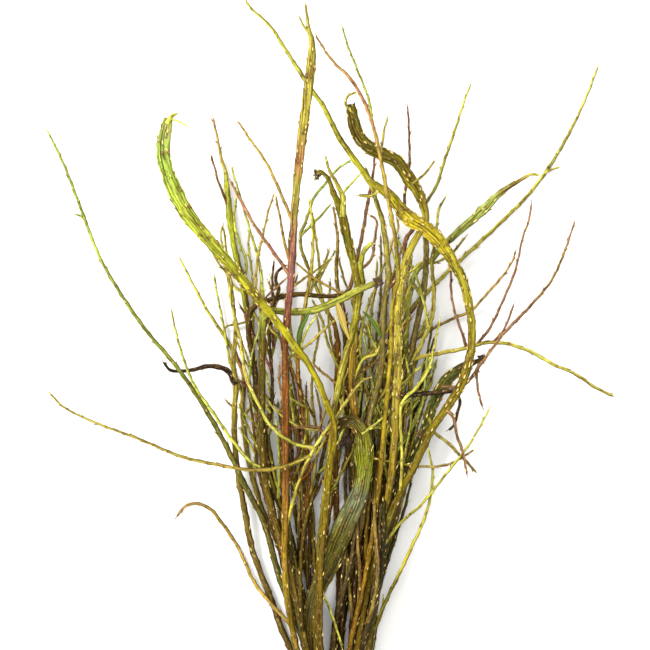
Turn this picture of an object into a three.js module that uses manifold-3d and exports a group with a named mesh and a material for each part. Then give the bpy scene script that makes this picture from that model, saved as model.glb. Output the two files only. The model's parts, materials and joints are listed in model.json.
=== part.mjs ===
// Fantail willow: twenty-three cut stems held by one rubber band, lying on a flat surface.
// Millimetres. X runs across the bunch, Y from the band towards the tips, Z up from the surface.
// The origin is the middle of the flat spot under the band.

import * as THREE from "three";
import { mergeVertices } from "three/addons/utils/BufferGeometryUtils.js";
import Module from "manifold-3d";

const wasm = await Module();
wasm.setup();

// Driving sizes of the bunch.
const CUT_END = -88; // where the stems were cut, below the band
const BAND_THICKNESS = 1.8; // of one turn of the rubber band
const BAND_TURN = 3.2; // width of one turn along the stems
const BAND_TURNS = 3;
const BAND_SIDES = 24;
const TURN_GROOVE = 0.55; // the groove between two turns lies this far up their thickness
const TURN_EDGE = 0.2; // rounded edge of a turn, as a part of its width
const TOUCH_GAP = 0.5; // between stems pressed together by the band
const CROSS_GAP = 2.6; // between stems that cross further up
const TIGHT_REACH = 60; // the stems lie tight this far on either side of the band
const LOOSE_REACH = 150; // and have their full crossing gap from here on

// A willow stem is round until it is wider than this, and flatter the wider it grows.
const ROUND_WIDTH = 8;
const FLATTENING = 0.35; // depth lost for each millimetre of width past that
const RIBBON_DEPTH = 5.5;
const RIBBON_WIDTH = 14; // a stem that grows wider than this is a ribbed ribbon
const RIBBON_ROUNDING = 3; // the edges of a ribbon are squarer than a circle, which has 2
const FINE_WIDTH = 5.5; // a twig that stays thinner than this has fewer sides

// How finely a route is followed, and how far a stem gives way on either side of a crossing.
const STEP = 4;
const GIVE = 95;
const OWN_GIVE = 55;
const OWN_REACH = 60; // along the wood, where a twig may already pass over its own stem
const TIGHT_BEND = 0.25; // largest bend left out near the band
const LOOSE_BEND = 1.2; // and further up

const CORNER = 1.1; // how far a six-sided stem's corners stand out from its round

// Winter buds.
const BUD_SPACING = 190;
const BUD_FIRST = [0.3, 0.8]; // distance of a shoot's first bud from its root, in spacings
const BUD_NEXT = [0.75, 1.25]; // and from each bud to the next
const BUD_TURN = 2 / 5; // the turn round the shoot from each bud to the next
const BUD_LENGTH = 9;
const BUD_WIDTH = 3.4;
const BUD_SMALLEST = 0.5; // size of a bud at a thin tip
const BUD_LEAN = 0.36; // how far a bud leans out, for each millimetre ahead
const BUD_SEAT = 0.72; // how far out of the wood's middle its root sits, in half widths
const BUD_REACH = 1.3; // and its middle
const BUD_ROOM = 3.6; // free space that a bud needs beside its stem
const BUD_SEED = 20;

// Sections, as fractions of half the width and half the depth, going round from the left edge.
const RIBBED = [[-1, 0], [-0.62, -1], [0, -0.62], [0.62, -1], [1, 0], [0.62, 1], [0, 0.62], [-0.62, 1]];

// A regular section with a flat underneath, as large as the round stem that it stands for.
function roundSection(sides) {
  const turn = (2 * Math.PI) / sides;
  const size = Math.sqrt(turn / Math.sin(turn));
  return Array.from({ length: sides }, (_, i) => {
    const angle = -Math.PI / 2 + (i - 0.5) * turn;
    return [size * Math.cos(angle), size * Math.sin(angle)];
  });
}

const SIX_SIDED = roundSection(6);
const FLAT_DEPTH = -SIX_SIDED[0][1]; // from a six-sided stem's middle to the flat under it
const FIVE_SIDED = roundSection(5);
const FOUR_SIDED = roundSection(4);

// Each stem lists its main shoot from the cut end to the tip, then the twigs that grew from it, as
// [x, y, width] seen from above. A width that isn't given runs evenly between its neighbours.
// The stems are listed from the lowest to the highest where they cross. "tip" is the height that
// the main shoot would reach by itself, and "rise" how much a twig climbs from its root.
const STEMS = [
  {
    name: "stem_01_tan_left", colour: 0x8c6a3a, tip: 0,
    main: [[-25, CUT_END, 8.5], [-21, 0, 8.5], [-33, 90], [-50, 160], [-68, 225, 7.5], [-85, 265],
      [-97, 290], [-109, 330], [-117, 360], [-123, 400, 7], [-126, 440], [-124, 480, 6], [-133, 505],
      [-152, 538], [-174, 571, 3.2], [-192, 603], [-208, 635], [-215, 650, 1.6]],
    twigs: [
      { rise: 8, route: [[-110, 335, 3.5], [-107, 370], [-101, 398, 2]] },
      { rise: 10, route: [[-126, 450, 3.5], [-131, 470], [-143, 500], [-150, 540], [-157, 575],
        [-162, 600], [-166, 625, 1.6]] },
    ],
  },
  {
    name: "stem_02_light_green", colour: 0xa9b545, tip: 12,
    main: [[-13, CUT_END, 9], [-10.5, 0, 9], [-22, 90], [-42, 170], [-62, 250], [-80, 330], [-93, 400],
      [-104, 460], [-113, 520], [-121, 580, 8.5], [-127, 620], [-136, 655], [-143, 700],
      [-147, 740, 8.5], [-150, 770, 5], [-155, 785, 3.6], [-163, 825], [-168, 846, 1.8]],
    twigs: [
      { rise: 12, route: [[-147, 715, 3], [-153, 738], [-160, 755], [-165, 775], [-171, 793, 1.6]] },
      { rise: 16, route: [[-117, 610, 3.4], [-120, 640], [-128, 664], [-136, 690], [-137, 712],
        [-133, 735, 1.8]] },
      { rise: 14, route: [[-112, 520, 3], [-110, 575], [-113, 630], [-117, 660], [-116, 690, 1.5]] },
      { rise: 6, route: [[-125, 600, 3.2], [-138, 607], [-150, 628], [-160, 640], [-168, 657, 2]] },
      { rise: 4, route: [[-118, 560, 2.6], [-139, 553], [-147, 552], [-153, 546, 1.4]] },
    ],
  },
  {
    name: "stem_03_brown_centre", colour: 0x7a5530, tip: 60,
    main: [[0, CUT_END, 8.5], [0, 0, 8.5], [8, 100], [10, 200], [6, 300], [4, 380], [6, 440, 9],
      [8, 520, 9], [4, 552, 6], [-10, 578, 4.5], [-22, 605], [-32, 630], [-43, 660, 3.8], [-44, 680],
      [-36, 700], [-25, 732, 3.2], [-12, 748], [4, 768], [28, 786, 1.6]],
    twigs: [
      { rise: 10, route: [[-44, 678, 3.2], [-30, 692], [-10, 712], [0, 724, 1.8]] },
      { rise: 30, route: [[-12, 580, 3.2], [-17, 610], [-18, 640], [-22, 670], [-27, 708, 1.6]] },
      { rise: 12, route: [[8, 500, 3.2], [-2, 535], [-5, 575], [-3, 602], [-2, 616, 1.8]] },
    ],
  },
  {
    name: "stem_04_far_right", colour: 0x8f9040, tip: 0,
    main: [[13, CUT_END, 9], [10.5, 0, 9], [26, 90], [50, 180], [70, 260], [84, 340], [92, 410],
      [98, 470, 6.5], [104, 540], [112, 575, 5], [140, 605], [165, 630], [200, 662, 4.4], [238, 698],
      [275, 735], [305, 775, 3.6], [333, 822], [360, 880], [374, 918, 1.6]],
    twigs: [
      { rise: 20, route: [[100, 515, 3.6], [122, 535], [165, 560], [195, 573, 3], [218, 597],
        [240, 622], [252, 640], [259, 658, 1.6]] },
      { rise: 8, route: [[298, 765, 2.4], [309, 772], [322, 776, 1.4]] },
    ],
  },
  {
    name: "stem_05_right_ribbon", colour: 0xa7b648, tip: 52,
    main: [[25, CUT_END, 9], [21, 0, 9], [36, 90], [60, 180], [78, 260], [90, 340], [97, 410],
      [101, 470, 8], [104, 530], [107, 580, 7], [118, 628], [140, 645], [160, 668, 8], [185, 690, 11],
      [213, 715, 12.5], [238, 740, 9], [262, 755, 5.5], [278, 764], [292, 763, 2.2]],
    twigs: [
      { rise: 6, route: [[130, 637, 3.4], [147, 641], [170, 656], [189, 678, 1.8]] },
      { rise: 18, route: [[140, 645, 3.2], [146, 680], [150, 715], [160, 735, 1.8]] },
    ],
  },
  {
    name: "stem_06_dark_left", colour: 0x5a4426, tip: 46,
    main: [[-31, CUT_END, 9], [-26.5, 0, 9], [-61, 103, 9], [-73, 131], [-83, 161], [-98, 199],
      [-112, 238, 8.5], [-123, 295], [-131, 340], [-136, 380, 8], [-137, 430], [-135, 470, 7.5],
      [-139, 500], [-136, 530, 6.5], [-136, 550, 4], [-140, 600, 3.2], [-146, 640], [-152, 690, 1.6]],
    twigs: [
      { rise: 10, route: [[-136, 470, 7], [-145, 487, 7.5], [-158, 494], [-175, 495], [-192, 491, 5.5],
        [-212, 488], [-227, 490, 3.5], [-238, 502, 2.2]] },
      { rise: 6, route: [[-137, 436, 2.4], [-143, 441], [-151, 450, 1.4]] },
    ],
  },
  {
    name: "stem_07_dark_bent", colour: 0x54431f, tip: 96,
    main: [[-19, CUT_END, 8.5], [-16, 0, 8.5], [-30, 90], [-42, 170], [-54, 240], [-68, 285],
      [-77, 312], [-91, 360, 8], [-95, 400], [-104, 440], [-110, 500], [-117, 545, 7.5], [-113, 573],
      [-98, 584], [-80, 590], [-50, 596, 7], [-20, 594], [8, 594, 5.5], [24, 603], [30, 625, 4.6],
      [36, 650], [44, 688], [50, 725, 4], [57, 760], [60, 790, 1.8]],
    twigs: [
      { rise: 8, route: [[-95, 400, 4], [-86, 430], [-84, 480], [-88, 540], [-80, 590], [-74, 603, 5],
        [-79, 615], [-77, 627], [-63, 637, 3]] },
      { rise: 12, route: [[30, 625, 3.6], [44, 634], [55, 645], [60, 675], [62, 700], [52, 708, 1.8]] },
      { rise: 10, route: [[-30, 596, 3], [-22, 620], [-10, 640], [-4, 660, 1.8]] },
    ],
  },
  {
    name: "stem_08_orange_inner", colour: 0x8a5a2c, tip: 70,
    main: [[-6, CUT_END, 8.5], [-5.5, 0, 8.5], [-30, 90], [-48, 180, 7], [-41, 240], [-37, 290],
      [-33, 330], [-36, 390], [-42, 440, 6.5], [-48, 490], [-44, 540], [-36, 590, 4.5], [-28, 640],
      [-27, 690, 3], [-32, 730, 1.8]],
    twigs: [
      { rise: 12, route: [[-35, 300, 4], [-25, 340], [-22, 400], [-28, 450], [-26, 500, 2.6],
        [-18, 545], [-22, 570, 1.8]] },
      { rise: 8, route: [[-45, 500, 3], [-60, 520], [-84, 545, 2], [-89, 552, 1.4]] },
    ],
  },
  {
    name: "stem_09_dark_inner", colour: 0x5b4a24, tip: 66,
    main: [[6, CUT_END, 8.5], [5.5, 0, 8.5], [12, 100], [20, 180], [27, 260], [28, 330], [22, 400, 8],
      [20, 450], [21, 500], [17, 545], [10, 590, 5.5], [6, 630], [8, 670, 3.4], [2, 720, 1.8]],
    twigs: [
      { rise: 14, route: [[24, 380, 4.5], [36, 430], [42, 480], [40, 530, 3.5], [47, 570], [58, 600, 2]] },
      { rise: 8, route: [[18, 470, 4], [4, 505], [-6, 528, 3], [-14, 560], [-28, 590, 1.8]] },
    ],
  },
  {
    name: "stem_10_brown_pink", colour: 0x87613c, tip: 92,
    main: [[19, CUT_END, 9], [16, 0, 9], [26, 98, 9], [31, 150], [38, 185], [45, 220, 8], [50, 290],
      [46, 340], [38, 390], [31, 430, 10], [28, 480, 11], [31, 530, 10.5], [35, 575, 9], [42, 612, 8],
      [40, 635], [44, 655], [57, 668, 6]],
    twigs: [
      { rise: 10, route: [[29, 470, 4], [44, 505, 5], [60, 512], [70, 530, 3], [62, 560, 2]] },
      { rise: 6, route: [[30, 450, 3.4], [14, 465, 3], [-8, 482], [-30, 500], [-52, 510, 1.6]] },
    ],
  },
  {
    name: "stem_11_grey_brown", colour: 0x7d6f52, tip: 84,
    main: [[31, CUT_END, 9], [26.5, 0, 9], [40, 90], [62, 180], [78, 270], [88, 350], [93, 420, 8.5],
      [99, 475], [110, 510], [118, 550, 8.5], [127, 590], [131, 625], [132, 665, 8], [130, 700, 6],
      [131, 722, 4.2], [145, 745], [158, 785], [172, 825, 3], [188, 875], [195, 893, 1.6]],
    twigs: [
      { rise: 14, route: [[102, 490, 5], [112, 503, 5], [150, 513], [185, 520], [215, 528], [245, 527],
        [280, 515, 4.6], [310, 498], [340, 485], [370, 465], [396, 453, 3.4]] },
      { rise: 12, route: [[106, 498, 5.5], [125, 525], [140, 565, 6], [143, 600], [140, 640, 4],
        [146, 672, 2]] },
      { rise: 26, route: [[205, 525, 3.2], [222, 550], [240, 588], [257, 630], [268, 678], [276, 700],
        [279, 726, 1.6]] },
      { rise: 12, route: [[226, 529, 2.8], [240, 545], [250, 568], [256, 584, 1.5]] },
      { rise: 18, route: [[188, 521, 3], [182, 543], [172, 572], [167, 600], [167, 636, 1.6]] },
      { rise: 8, route: [[127, 590, 4], [112, 612], [103, 590, 3.6], [98, 560, 2.4]] },
    ],
  },
  {
    name: "stem_12_long_green", colour: 0x7f9a4a, tip: 120,
    main: [[-25, CUT_END, 9], [-21, 0, 9], [-38, 100, 9.5], [-53, 147], [-74, 200], [-97, 280, 8.5],
      [-118, 320], [-138, 362, 7.5], [-160, 405], [-190, 455, 6], [-222, 500], [-260, 545, 5],
      [-299, 602], [-326, 650, 4], [-350, 713], [-376, 780, 3], [-400, 828, 1.6]],
    twigs: [
      { rise: 4, route: [[-344, 697, 2.4], [-353, 706], [-362, 708, 1.4]] },
    ],
  },
  {
    name: "stem_13_grey_fork", colour: 0x857a58, tip: 104,
    main: [[0, CUT_END, 9], [0, 0, 9], [2, 110, 9], [13, 170], [28, 215], [44, 290, 9], [54, 380, 8.5],
      [53, 425], [63, 460, 9], [70, 500], [71, 540], [74, 590, 8], [79, 620], [76, 660, 7.5],
      [70, 700], [60, 732, 6], [54, 752, 3.4], [47, 775, 1.8]],
    twigs: [
      { rise: 6, route: [[57, 440, 5.5], [70, 454, 5.5], [79, 473], [83, 500], [80, 530, 2.6]] },
      { rise: 12, route: [[75, 603, 5], [97, 626, 5], [101, 650], [104, 675, 5.5], [114, 688, 5],
        [103, 708, 3.4], [102, 738], [108, 772], [108, 815], [106, 861, 1.6]] },
      { rise: 8, route: [[77, 642, 2.8], [84, 668], [93, 690], [90, 706, 1.6]] },
    ],
  },
  {
    name: "stem_14_dark_lobe", colour: 0x5d5f26, tip: 64,
    main: [[25, CUT_END, 9], [21, 0, 9], [44, 90], [58, 170], [74, 240, 10], [92, 308, 11],
      [104, 340, 12], [122, 385, 14], [133, 415, 15], [143, 445, 15], [161, 476, 18], [188, 496, 12],
      [203, 502, 7], [214, 508, 3.5]],
    twigs: [
      { rise: 24, route: [[158, 466, 4.4], [183, 468, 4], [212, 503], [240, 540], [280, 582, 3.4],
        [309, 618], [328, 662], [340, 700, 1.6]] },
      { rise: 4, route: [[138, 420, 4], [146, 400], [160, 390], [182, 368, 3.4], [204, 345, 2.4]] },
      { rise: 6, route: [[206, 504, 3], [203, 480], [206, 455], [212, 436, 1.8]] },
    ],
  },
  {
    name: "stem_15_thin_yellow", colour: 0xc9b93c, tip: 58,
    main: [[37, CUT_END, 5.5], [33, 0, 5.5], [57, 98, 5], [62, 128], [77, 168, 4.4], [94, 203],
      [113, 244], [129, 280, 3.6], [138, 313], [141, 350, 2.6], [134, 380, 1.6]],
    twigs: [
      { rise: 3, route: [[70, 148, 3], [72, 160], [72, 172, 1.6]] },
    ],
  },
  {
    name: "stem_16_hooked_fan", colour: 0x6f7a34, tip: 78,
    main: [[-14, CUT_END, 11], [-11.5, 0, 11], [-34, 98, 15], [-30, 150, 20], [-16, 191, 24],
      [-1, 221, 27], [10, 252, 29], [23, 284, 29], [37, 315, 25], [45, 349, 23], [46, 378, 23],
      [41, 403, 22], [28, 418, 20], [12, 414, 15], [4, 404, 9]],
    twigs: [
      { rise: 10, route: [[52, 366, 3], [80, 362], [119, 355], [164, 358], [200, 379, 1.6]] },
      { rise: 4, route: [[52, 404, 3.4], [70, 421], [86, 434, 2]] },
    ],
  },
  {
    name: "stem_17_olive_hook", colour: 0x8a8a30, tip: 128,
    main: [[12, CUT_END, 10], [10.5, 0, 10], [35, 98, 9.5], [41, 130], [52, 190], [62, 230], [76, 300],
      [83, 340, 9.5], [88, 400, 11], [92, 480, 12], [92, 560, 12], [98, 620, 11.5], [108, 655, 10.5],
      [121, 680, 10], [131, 700, 10], [128, 720, 12], [119, 741, 15], [106, 760, 17.5], [90, 782, 18],
      [72, 791, 18], [54, 800, 17.5], [40, 813, 17.5], [31, 833, 17], [27, 858, 14]],
    twigs: [
      { rise: 4, route: [[90, 452, 6.5], [118, 456, 6.5], [150, 458], [172, 459, 5], [179, 448, 3.6],
        [176, 430], [170, 411], [162, 405, 1.8]] },
      { rise: 8, route: [[29, 850, 3], [19, 862], [22, 873], [35, 878, 1.8]] },
      { rise: 14, route: [[68, 793, 3], [72, 820], [78, 845, 1.6]] },
      { rise: 12, route: [[114, 750, 3], [125, 760], [145, 783, 1.6]] },
      { rise: 8, route: [[96, 600, 4], [104, 622], [118, 634], [126, 642, 2.6]] },
    ],
  },
  {
    name: "stem_18_arched_ribbon", colour: 0xb9a832, tip: 150,
    main: [[19, CUT_END, 10], [16, 0, 10], [51, 100, 10.5], [57, 150], [63, 200], [75, 265],
      [95, 315, 9.5], [118, 360], [142, 410, 10.5], [163, 440, 11.5], [183, 475, 12.5], [195, 520, 11],
      [195, 560, 11], [183, 615, 13], [171, 638, 14.5], [156, 662, 17.5], [132, 687, 20.5],
      [106, 703, 21], [79, 736, 13], [55, 752, 10], [38, 775, 8.5], [10, 815, 7.5], [-12, 858, 6.5],
      [-33, 888, 6], [-60, 930, 4.6], [-88, 972, 3.6], [-108, 990, 3], [-122, 1006, 1.6]],
    twigs: [
      { rise: 8, route: [[66, 238, 3.6], [95, 274, 3.4], [125, 301], [162, 347, 2.6], [191, 384],
        [211, 417], [221, 437, 1.5]] },
      { rise: -3, route: [[67, 744, 5], [55, 734, 4.4], [36, 734, 3.4]] },
      { rise: 6, route: [[158, 434, 4.5], [170, 424, 4], [174, 402, 3], [184, 372, 2.4],
        [189, 342, 1.5]] },
      { rise: 14, route: [[96, 320, 4], [98, 370, 3.6], [96, 420], [98, 444], [118, 465, 3.6],
        [135, 490], [144, 525], [151, 562, 1.6]] },
    ],
  },
  {
    name: "stem_19_orange_climber", colour: 0xc09a38, tip: 172,
    main: [[6, CUT_END, 7], [5.5, 0, 7], [24, 98, 7], [45, 190], [60, 280], [68, 350], [74, 420],
      [80, 480, 6.5], [83, 530], [86, 590, 6], [93, 620], [90, 660, 5.5], [83, 705], [77, 735],
      [68, 785, 5], [56, 835], [43, 868], [25, 897, 4], [0, 922], [-23, 957, 1.6]],
    twigs: [
      { rise: 16, route: [[57, 833, 3.2], [51, 868], [36, 907], [20, 948], [14, 972, 1.5]] },
    ],
  },
  {
    name: "stem_20_forked_olive", colour: 0x8f8a34, tip: 138,
    main: [[-6, CUT_END, 9], [-5, 0, 9], [-22, 98, 8.5], [-20, 160], [-17, 240], [-12, 290],
      [-6, 345], [0, 400, 9], [6, 450], [17, 500], [30, 550, 9], [37, 600, 9.5], [30, 640, 11],
      [20, 680, 12.5], [12, 715, 12], [3, 735, 8], [-6, 758, 6], [-18, 768, 5], [-24, 757, 2.6]],
    twigs: [
      { rise: 6, route: [[13, 705, 8], [15, 732, 7], [8, 748, 5], [-4, 770, 3.4], [-10, 790, 1.8]] },
      { rise: 8, route: [[13, 736, 3], [28, 752], [40, 764, 1.6]] },
      { rise: 6, route: [[34, 590, 3.4], [0, 604], [-32, 624], [-52, 642, 1.6]] },
      { rise: 8, route: [[-20, 190, 3], [-8, 166], [4, 134], [15, 98, 1.8]] },
      { rise: 6, route: [[-1, 392, 3.4], [-24, 410], [-60, 408], [-90, 413, 1.6]] },
    ],
  },
  {
    name: "stem_21_green_crossbar", colour: 0x7f8a34, tip: 112,
    main: [[-19, CUT_END, 9], [-15.5, 0, 9], [-34, 90], [-50, 165], [-66, 235, 9], [-85, 295],
      [-96, 350, 9], [-99, 410, 9.5], [-98, 470], [-98, 520, 10], [-96, 560, 10], [-95, 579, 9]],
    twigs: [
      { rise: 6, route: [[-97, 560, 8], [-85, 572, 9.5], [-55, 571, 10], [-25, 574, 11], [0, 583, 11],
        [30, 598, 10.5], [62, 613, 7]] },
      { rise: 6, route: [[-96, 352, 4.6], [-112, 360, 4.2], [-140, 392], [-168, 432, 3.6], [-192, 467],
        [-208, 506], [-219, 545], [-226, 577, 1.5]] },
      { rise: 22, route: [[-96, 572, 3.6], [-98, 612], [-103, 645], [-114, 683], [-127, 728],
        [-141, 776, 1.5]] },
      { rise: 22, route: [[-97, 560, 3.4], [-106, 600], [-104, 645], [-96, 680], [-90, 708],
        [-81, 738, 1.6]] },
    ],
  },
  {
    name: "stem_22_red_rod", colour: 0xa9743f, tip: 214,
    main: [[-13, CUT_END, 9], [-10.5, 0, 9], [-50, 100, 9], [-55, 125], [-62, 165], [-66, 215],
      [-66, 262, 9], [-65, 320, 10], [-65, 400], [-65, 480], [-66, 530], [-62, 570], [-57, 620, 10],
      [-53, 700, 10], [-50, 740, 11], [-44, 795, 13], [-36, 859, 13.5], [-29, 915, 13], [-28, 945, 9],
      [-33, 968, 5], [-37, 1002, 1.6]],
    twigs: [
      { rise: 10, route: [[-66, 262, 4.6], [-58, 292, 4.6], [-43, 342], [-20, 388, 4.2], [8, 427],
        [30, 460, 3.4], [42, 474], [54, 479, 2]] },
      { rise: 12, route: [[-28, 372, 5], [-60, 357, 4.6], [-105, 350], [-165, 358, 4.2], [-210, 368],
        [-270, 393, 3.6], [-334, 417], [-379, 440], [-398, 461, 1.8]] },
      { rise: 16, route: [[-24, 380, 5], [-50, 386, 4.6], [-84, 410], [-104, 445], [-120, 480, 4],
        [-128, 530], [-141, 585, 3.4], [-146, 625], [-156, 680], [-153, 694, 1.5]] },
      { rise: -22, route: [[-57, 132, 5], [-80, 156, 4.8], [-107, 188], [-132, 240, 4.2], [-155, 275],
        [-172, 295, 4], [-190, 302], [-205, 299, 3.2], [-219, 282, 1.8]] },
      { rise: 24, route: [[-58, 618, 4.4], [-82, 655, 4.2], [-110, 695], [-128, 728, 3.6],
        [-143, 755, 2]] },
      { rise: 20, route: [[-54, 694, 4], [-70, 733, 3.8], [-92, 780], [-120, 820], [-131, 838, 1.6]] },
      { rise: 12, route: [[-58, 636, 3.8], [-67, 670, 3.4], [-72, 700], [-79, 733, 1.6]] },
      { rise: 6, route: [[-65, 506, 3.2], [-38, 522, 3], [-5, 552, 2.4], [5, 559, 1.6]] },
      { rise: 8, route: [[-46, 518, 3], [-38, 540], [-22, 566, 1.6]] },
      { rise: 8, depth: 1, route: [[-46, 519, 1.8], [-47, 532, 5], [-43, 549, 7.5], [-36, 563, 5.5],
        [-30, 573, 1.2]] },
      { rise: 4, route: [[-31, 958, 2.6], [-41, 972], [-47, 984, 1.4]] },
    ],
  },
  {
    name: "stem_23_lime_ribbon", colour: 0xb2c23c, tip: 190,
    main: [[1, CUT_END, 9], [0.5, 0, 9], [-16, 98, 8.5], [-17, 160], [-14, 240], [-8, 300], [-3, 350],
      [3, 388], [3, 412, 9], [-8, 445], [-28, 490, 9], [-56, 530, 10], [-85, 568, 11], [-112, 600, 13],
      [-145, 640, 15.5], [-175, 675, 17.5], [-200, 705, 20], [-218, 738, 21.5], [-232, 775, 21],
      [-235, 803, 20], [-229, 838, 15]],
    twigs: [
      { rise: 6, route: [[-229, 834, 6], [-222, 845, 4.5], [-214, 848, 2.4]] },
      { rise: 4, route: [[-226, 838, 2.4], [-212, 836], [-200, 828, 1.4]] },
    ],
  },
];

// Half the width and half the depth of a shoot that is this wide.
function halves(width, depth) {
  const full = Math.max(RIBBON_DEPTH, ROUND_WIDTH - (width - ROUND_WIDTH) * FLATTENING);
  return [width / 2, (depth ?? Math.min(width, full)) / 2];
}

const mix = (a, b, t) => a + (b - a) * t;
const smooth = (t) => t * t * (3 - 2 * t);
const clamp = (t) => Math.min(1, Math.max(0, t));

// The value at a run along the wood, from [run, value] pairs in order.
function along(pairs, run) {
  const next = Math.max(1, pairs.findIndex(([at], i) => i > 0 && at >= run));
  const [a, b] = [pairs[next - 1], pairs[next]];
  return mix(a[1], b[1], clamp((run - a[0]) / (b[0] - a[0])));
}

// Follows a route in short steps, with the run along the wood and the width at each.
function sampleRoute({ route, depth }) {
  const knots = route.map(([x, y]) => new THREE.Vector3(x, y, 0));
  const curve = new THREE.CatmullRomCurve3(knots, false, "centripetal");
  const spans = knots.length - 1;
  const samples = [{ x: knots[0].x, y: knots[0].y, run: 0 }];
  const knotRuns = [0];
  for (let k = 0; k < spans; k++) {
    const parts = Math.ceil(knots[k].distanceTo(knots[k + 1]) / STEP);
    for (let i = 1; i <= parts; i++) {
      const { x, y } = curve.getPoint((k + i / parts) / spans);
      const last = samples[samples.length - 1];
      samples.push({ x, y, run: last.run + Math.hypot(x - last.x, y - last.y) });
    }
    knotRuns.push(samples[samples.length - 1].run);
  }
  const widths = route.flatMap(([, , width], k) => (width ? [[knotRuns[k], width]] : []));
  for (const sample of samples) {
    sample.width = along(widths, sample.run);
    [sample.half, sample.rise] = halves(sample.width, depth);
  }
  return samples;
}

// The sample of the shoots that lies nearest to a place, seen from above.
function nearest(shoots, x, y) {
  let best = null;
  for (const shoot of shoots) {
    for (const sample of shoot.samples) {
      const gap = Math.hypot(sample.x - x, sample.y - y);
      if (!best || gap < best.gap) best = { shoot, sample, gap };
    }
  }
  return best;
}

// A stem's shoots as they would lie by themselves: the main shoot, then each twig from its root.
function growStem({ main, twigs, tip }) {
  const trunk = { samples: sampleRoute({ route: main }), parent: null };
  const length = trunk.samples[trunk.samples.length - 1].run;
  const bandRun = nearest([trunk], main[1][0], main[1][1]).sample.run;
  const bandHeight = BAND_THICKNESS + TOUCH_GAP + trunk.samples[0].rise * FLAT_DEPTH;
  for (const sample of trunk.samples) {
    const out = clamp((sample.run - bandRun) / (length - bandRun));
    sample.z = Math.max(sample.rise, mix(bandHeight, tip, smooth(out)));
  }
  const shoots = [trunk];
  for (const { route, rise, depth } of twigs) {
    const root = nearest(shoots, route[0][0], route[0][1]);
    const rooted = [[root.sample.x, root.sample.y, route[0][2]], ...route.slice(1)];
    const samples = sampleRoute({ route: rooted, depth });
    const reach = samples[samples.length - 1].run;
    for (const sample of samples) {
      sample.z = Math.max(sample.rise, root.sample.z + (rise * sample.run) / reach);
    }
    shoots.push({ samples, parent: root.shoot, rootRun: root.sample.run, depth });
  }
  shoots.forEach((shoot, i) => { shoot.index = i; });
  return shoots;
}

// The way through the wood from one place on a stem to another.
function woodBetween(shootA, runA, shootB, runB) {
  let [a, b] = [{ shoot: shootA, run: runA }, { shoot: shootB, run: runB }];
  let way = 0;
  while (a.shoot !== b.shoot) {
    if (a.shoot.index < b.shoot.index) [a, b] = [b, a];
    way += a.run;
    a = { shoot: a.shoot.parent, run: a.shoot.rootRun };
  }
  return way + Math.abs(a.run - b.run);
}

const give = (way, reach) => (Math.abs(way) < reach ? (1 - (way / reach) ** 2) ** 2 : 0);

// Short straight pieces of the shoots, for measuring how close another stem comes.
function piecesOf(shoots) {
  return shoots.flatMap((shoot) => (
    shoot.samples.slice(1).map((b, i) => ({ shoot, a: shoot.samples[i], b }))
  ));
}

// The lowest height at which a sample clears a piece that lies under it.
function heightOver(sample, { a, b }, gap) {
  const room = (sample.half + Math.max(a.half, b.half)) * CORNER + gap;
  const [dx, dy] = [b.x - a.x, b.y - a.y];
  const t = clamp(((sample.x - a.x) * dx + (sample.y - a.y) * dy) / (dx * dx + dy * dy));
  const away = Math.hypot(sample.x - mix(a.x, b.x, t), sample.y - mix(a.y, b.y, t));
  if (away >= room) return -Infinity;
  const stack = (sample.rise + mix(a.rise, b.rise, t)) * CORNER + gap;
  const power = Math.max(sample.width, a.width) > RIBBON_WIDTH ? RIBBON_ROUNDING : 2;
  return mix(a.z, b.z, t) + stack * (1 - (away / room) ** power) ** (1 / power);
}

// The gap grows from the tight bundle at the band to the loose crossings above it.
const crossingGap = (y) => mix(
  TOUCH_GAP, CROSS_GAP, smooth(clamp((Math.abs(y) - TIGHT_REACH) / (LOOSE_REACH - TIGHT_REACH))),
);

// A grid over the surface that finds the pieces near a place.
class NearGrid {
  static CELL = 40;

  constructor() { this.cells = new Map(); }

  key(x, y) { return `${Math.floor(x / NearGrid.CELL)},${Math.floor(y / NearGrid.CELL)}`; }

  add(piece) {
    const key = this.key(piece.a.x, piece.a.y);
    if (!this.cells.has(key)) this.cells.set(key, []);
    this.cells.get(key).push(piece);
  }

  * near(x, y) {
    for (const dx of [-1, 0, 1]) {
      for (const dy of [-1, 0, 1]) {
        yield* this.cells.get(this.key(x + dx * NearGrid.CELL, y + dy * NearGrid.CELL)) ?? [];
      }
    }
  }
}

// Lays a stem over all that is under it: where it would touch, the wood rises in a long bend.
function layOver(shoots, grid) {
  const lifts = [];
  for (const shoot of shoots) {
    for (const sample of shoot.samples) {
      let floor = sample.z;
      for (const piece of grid.near(sample.x, sample.y)) {
        floor = Math.max(floor, heightOver(sample, piece, crossingGap(sample.y)));
      }
      if (floor > sample.z) lifts.push({ shoot, run: sample.run, lift: floor - sample.z });
    }
  }
  for (const shoot of shoots) {
    for (const sample of shoot.samples) {
      let up = 0;
      for (const { shoot: from, run, lift } of lifts) {
        if (lift > up) up = Math.max(up, lift * give(woodBetween(shoot, sample.run, from, run), GIVE));
      }
      sample.up = up;
    }
  }
  for (const { samples } of shoots) for (const sample of samples) sample.z += sample.up;
}

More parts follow.
